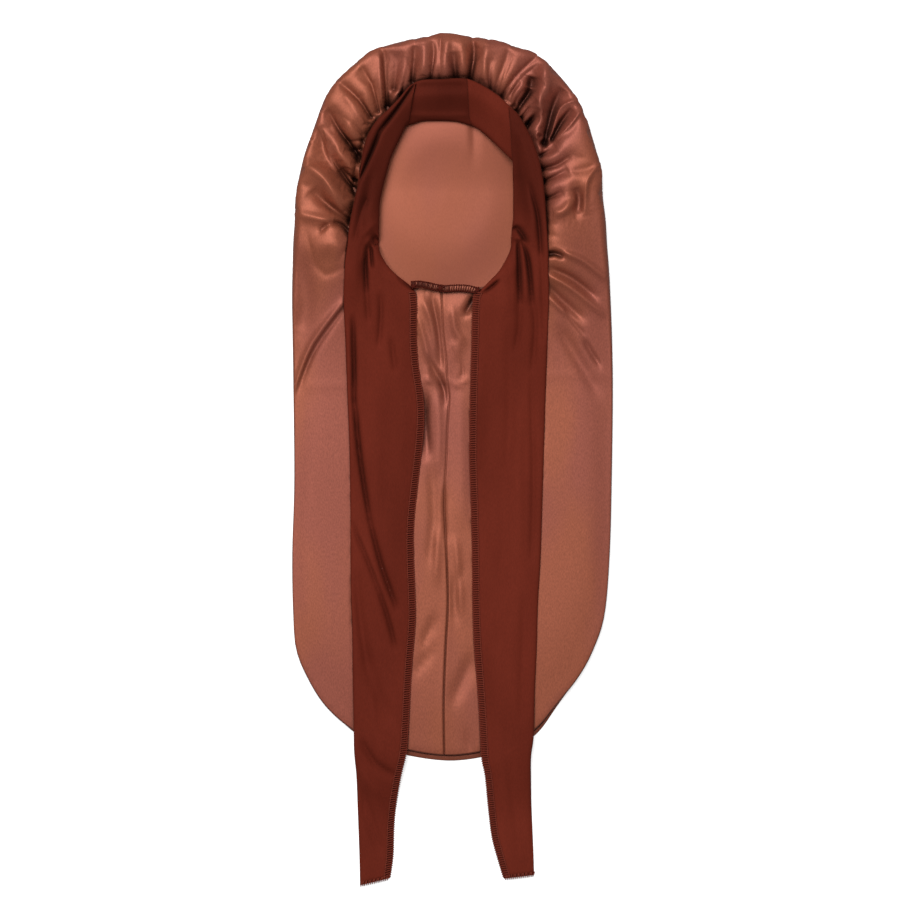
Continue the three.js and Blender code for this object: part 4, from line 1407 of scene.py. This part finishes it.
def jersey_material(name, shade):
    """Knitted jersey, dimmed to the given share towards the crown end, over the y of HEAD_BLEND."""
    values = {"Roughness": 0.8, "Specular IOR Level": 0.06, "Sheen Weight": 0.05}
    values.update({"Sheen Roughness": 0.5, "Sheen Tint": (0.9, 0.3, 0.2, 1)})
    material, tree, shader = new_material(name, values)
    broad = noise(tree, stretched(tree, (1.0, 0.3, 1.0)), 24.0, 3.0)
    tone = ramp(tree, broad, JERSEY_DARK, JERSEY_LIGHT, 0.3, 0.7)
    place = tree.nodes.new("ShaderNodeSeparateXYZ")
    tree.links.new(tree.nodes.new("ShaderNodeTexCoord").outputs["Object"], place.inputs["Vector"])
    head_end_dimming = ramp(tree, place.outputs["Y"], grey(1.0), grey(shade), *HEAD_BLEND)
    tone = mixed(tree, tone, head_end_dimming, 1.0, "MULTIPLY")
    knit = noise(tree, stretched(tree, (1.0, 0.25, 1.0)), 1300.0, 1.0)
    speckle = ramp(tree, knit, grey(0.4), grey(0.6), 0.3, 0.7)
    colour = mixed(tree, tone, speckle, 0.4, "OVERLAY")
    # Painted shade: the colour is darkened in the folds and where the jersey meets other cloth.
    colour = painted_fold_shade(tree, colour, 0.01, 0.3, 0.3, 0.82)
    tree.links.new(colour, shader.inputs["Base Color"])
    bumped(tree, knit, 0.25, shader)
    return material


def thread_material(name, colour):
    values = {"Base Color": (*colour, 1), "Roughness": 0.8, "Specular IOR Level": 0.1}
    return new_material(name, values)[0]


def make_floor():
    """A table top that glows a little, so that it is as pale as the photo's background."""
    bpy.ops.mesh.primitive_plane_add(size=12.0)
    floor = bpy.context.object
    floor.name = "table_top"
    values = {"Base Color": (0.9, 0.9, 0.9, 1), "Roughness": 0.9}
    values.update({"Emission Color": (1, 1, 1, 1), "Emission Strength": 0.6})
    floor.data.materials.append(new_material("table_top", values)[0])
    floor.visible_diffuse = False
    floor.visible_glossy = False


def make_light(name, place, aim, energy, size):
    data = bpy.data.lights.new(name, "AREA")
    data.energy = energy
    data.size = size
    obj = bpy.data.objects.new(name, data)
    obj.location = place
    obj.rotation_euler = (Vector(aim) - Vector(place)).to_track_quat("-Z", "Y").to_euler()
    bpy.context.scene.collection.objects.link(obj)


PIXEL, PIXEL_HEIGHT = 0.965, 0.012  # millimetres to a pixel of the photo, that many metres up
PHOTO_ZERO = (452.5, 460.0)  # the pixel that the tables' zero lies on
PHOTO_SIZE = 900
CAMERA_HEIGHT = 4.0


def make_camera():
    """The camera, straight above the middle of the photo."""
    data = bpy.data.cameras.new("camera")
    obj = bpy.data.objects.new("camera", data)
    bpy.context.scene.collection.objects.link(obj)
    x = (PHOTO_SIZE / 2 - PHOTO_ZERO[0]) * PIXEL
    y = (PHOTO_ZERO[1] - PHOTO_SIZE / 2) * PIXEL
    obj.location = (Vector((x, y, 0)) + Vector(SHIFT)) * MM + Vector((0, 0, CAMERA_HEIGHT))
    data.sensor_width = 36.0
    data.lens = data.sensor_width * (CAMERA_HEIGHT - PIXEL_HEIGHT) / (PHOTO_SIZE * PIXEL * MM)
    data.clip_end = 20.0
    bpy.context.scene.camera = obj


def make_studio():
    """Weak even light from all round, and one large soft light above the head end."""
    world = bpy.data.worlds.new("studio")
    world.use_nodes = True
    background = world.node_tree.nodes["Background"]
    background.inputs["Color"].default_value = (1, 1, 1, 1)
    background.inputs["Strength"].default_value = 0.28
    bpy.context.scene.world = world
    make_light("key_light", (-1.0, 2.2, 5.0), (0, 0, 0), 250, 3.4)
    view = bpy.context.scene.view_settings
    view.view_transform = "Standard"
    view.look = "None"


def make_band(sheets):
    """The jersey strip of all four lengths. The flap has a material of its own, and isn't dimmed."""
    meshes = [sheet.mesh() for sheet in sheets]
    band = mesh_object("jersey_band_and_ties", *join(meshes), jersey_material("jersey", 0.66))
    band.data.materials.append(jersey_material("jersey_flap", 1.0))
    first = len(meshes[0][1]) + len(meshes[1][1])
    for face in band.data.polygons[first : first + len(meshes[2][1])]:
        face.material_index = 1
    return band


def strip_underside(sheets):
    undersides = [sheet.under for sheet in sheets]
    return join([(u.reshape(-1, 3), grid_faces(*u.shape[:2], wrap=False)) for u in undersides])


make_floor()
make_studio()
make_camera()
satin = satin_material("satin", 0.8, 0.014)
inner_satin = satin_material("inner_satin", 0.35, 0.004)
thread = thread_material("thread", THREAD_COLOUR)
nape_thread = thread_material("nape_thread", NAPE_THREAD_COLOUR)

left = Sheet(LEFT_EDGES, left_layer, folded_ends=(1.0,))
crown = Sheet(CROWN_EDGES, crown_layer)
flap = Sheet(FLAP_EDGES, flap_layer, folded_ends=(0.0,))
right = Sheet(RIGHT_EDGES, right_layer, folded_ends=(0.0,))
left_seam_end = left.share_at(*NAPE_ENDS[0])
right_seam_start = right.share_at(*NAPE_ENDS[1])
left.overlocked(0.0, left_seam_end)
right.overlocked(right_seam_start, 1.0)
left.press_end(0.0)
right.press_end(1.0)
sheets = (left, crown, flap, right)

band = make_band(sheets)
bag_front, front_edge = make_front(satin, strip_underside(sheets))
bag_back = make_back(inner_satin, front_edge)
overlock = all_stitches(left, right, left_seam_end, right_seam_start)
stitches = mesh_object("overlock_stitches", *overlock, thread)
nape = make_nape_casing(satin)
nape_stitches = make_nape_stitches(nape_thread)

for piece in (bag_front, bag_back, band, stitches, nape, nape_stitches):
    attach(piece, "root")
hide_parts("bag_front")
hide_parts("bag_back")
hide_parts("tie_band")
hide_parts("nape_elastic")
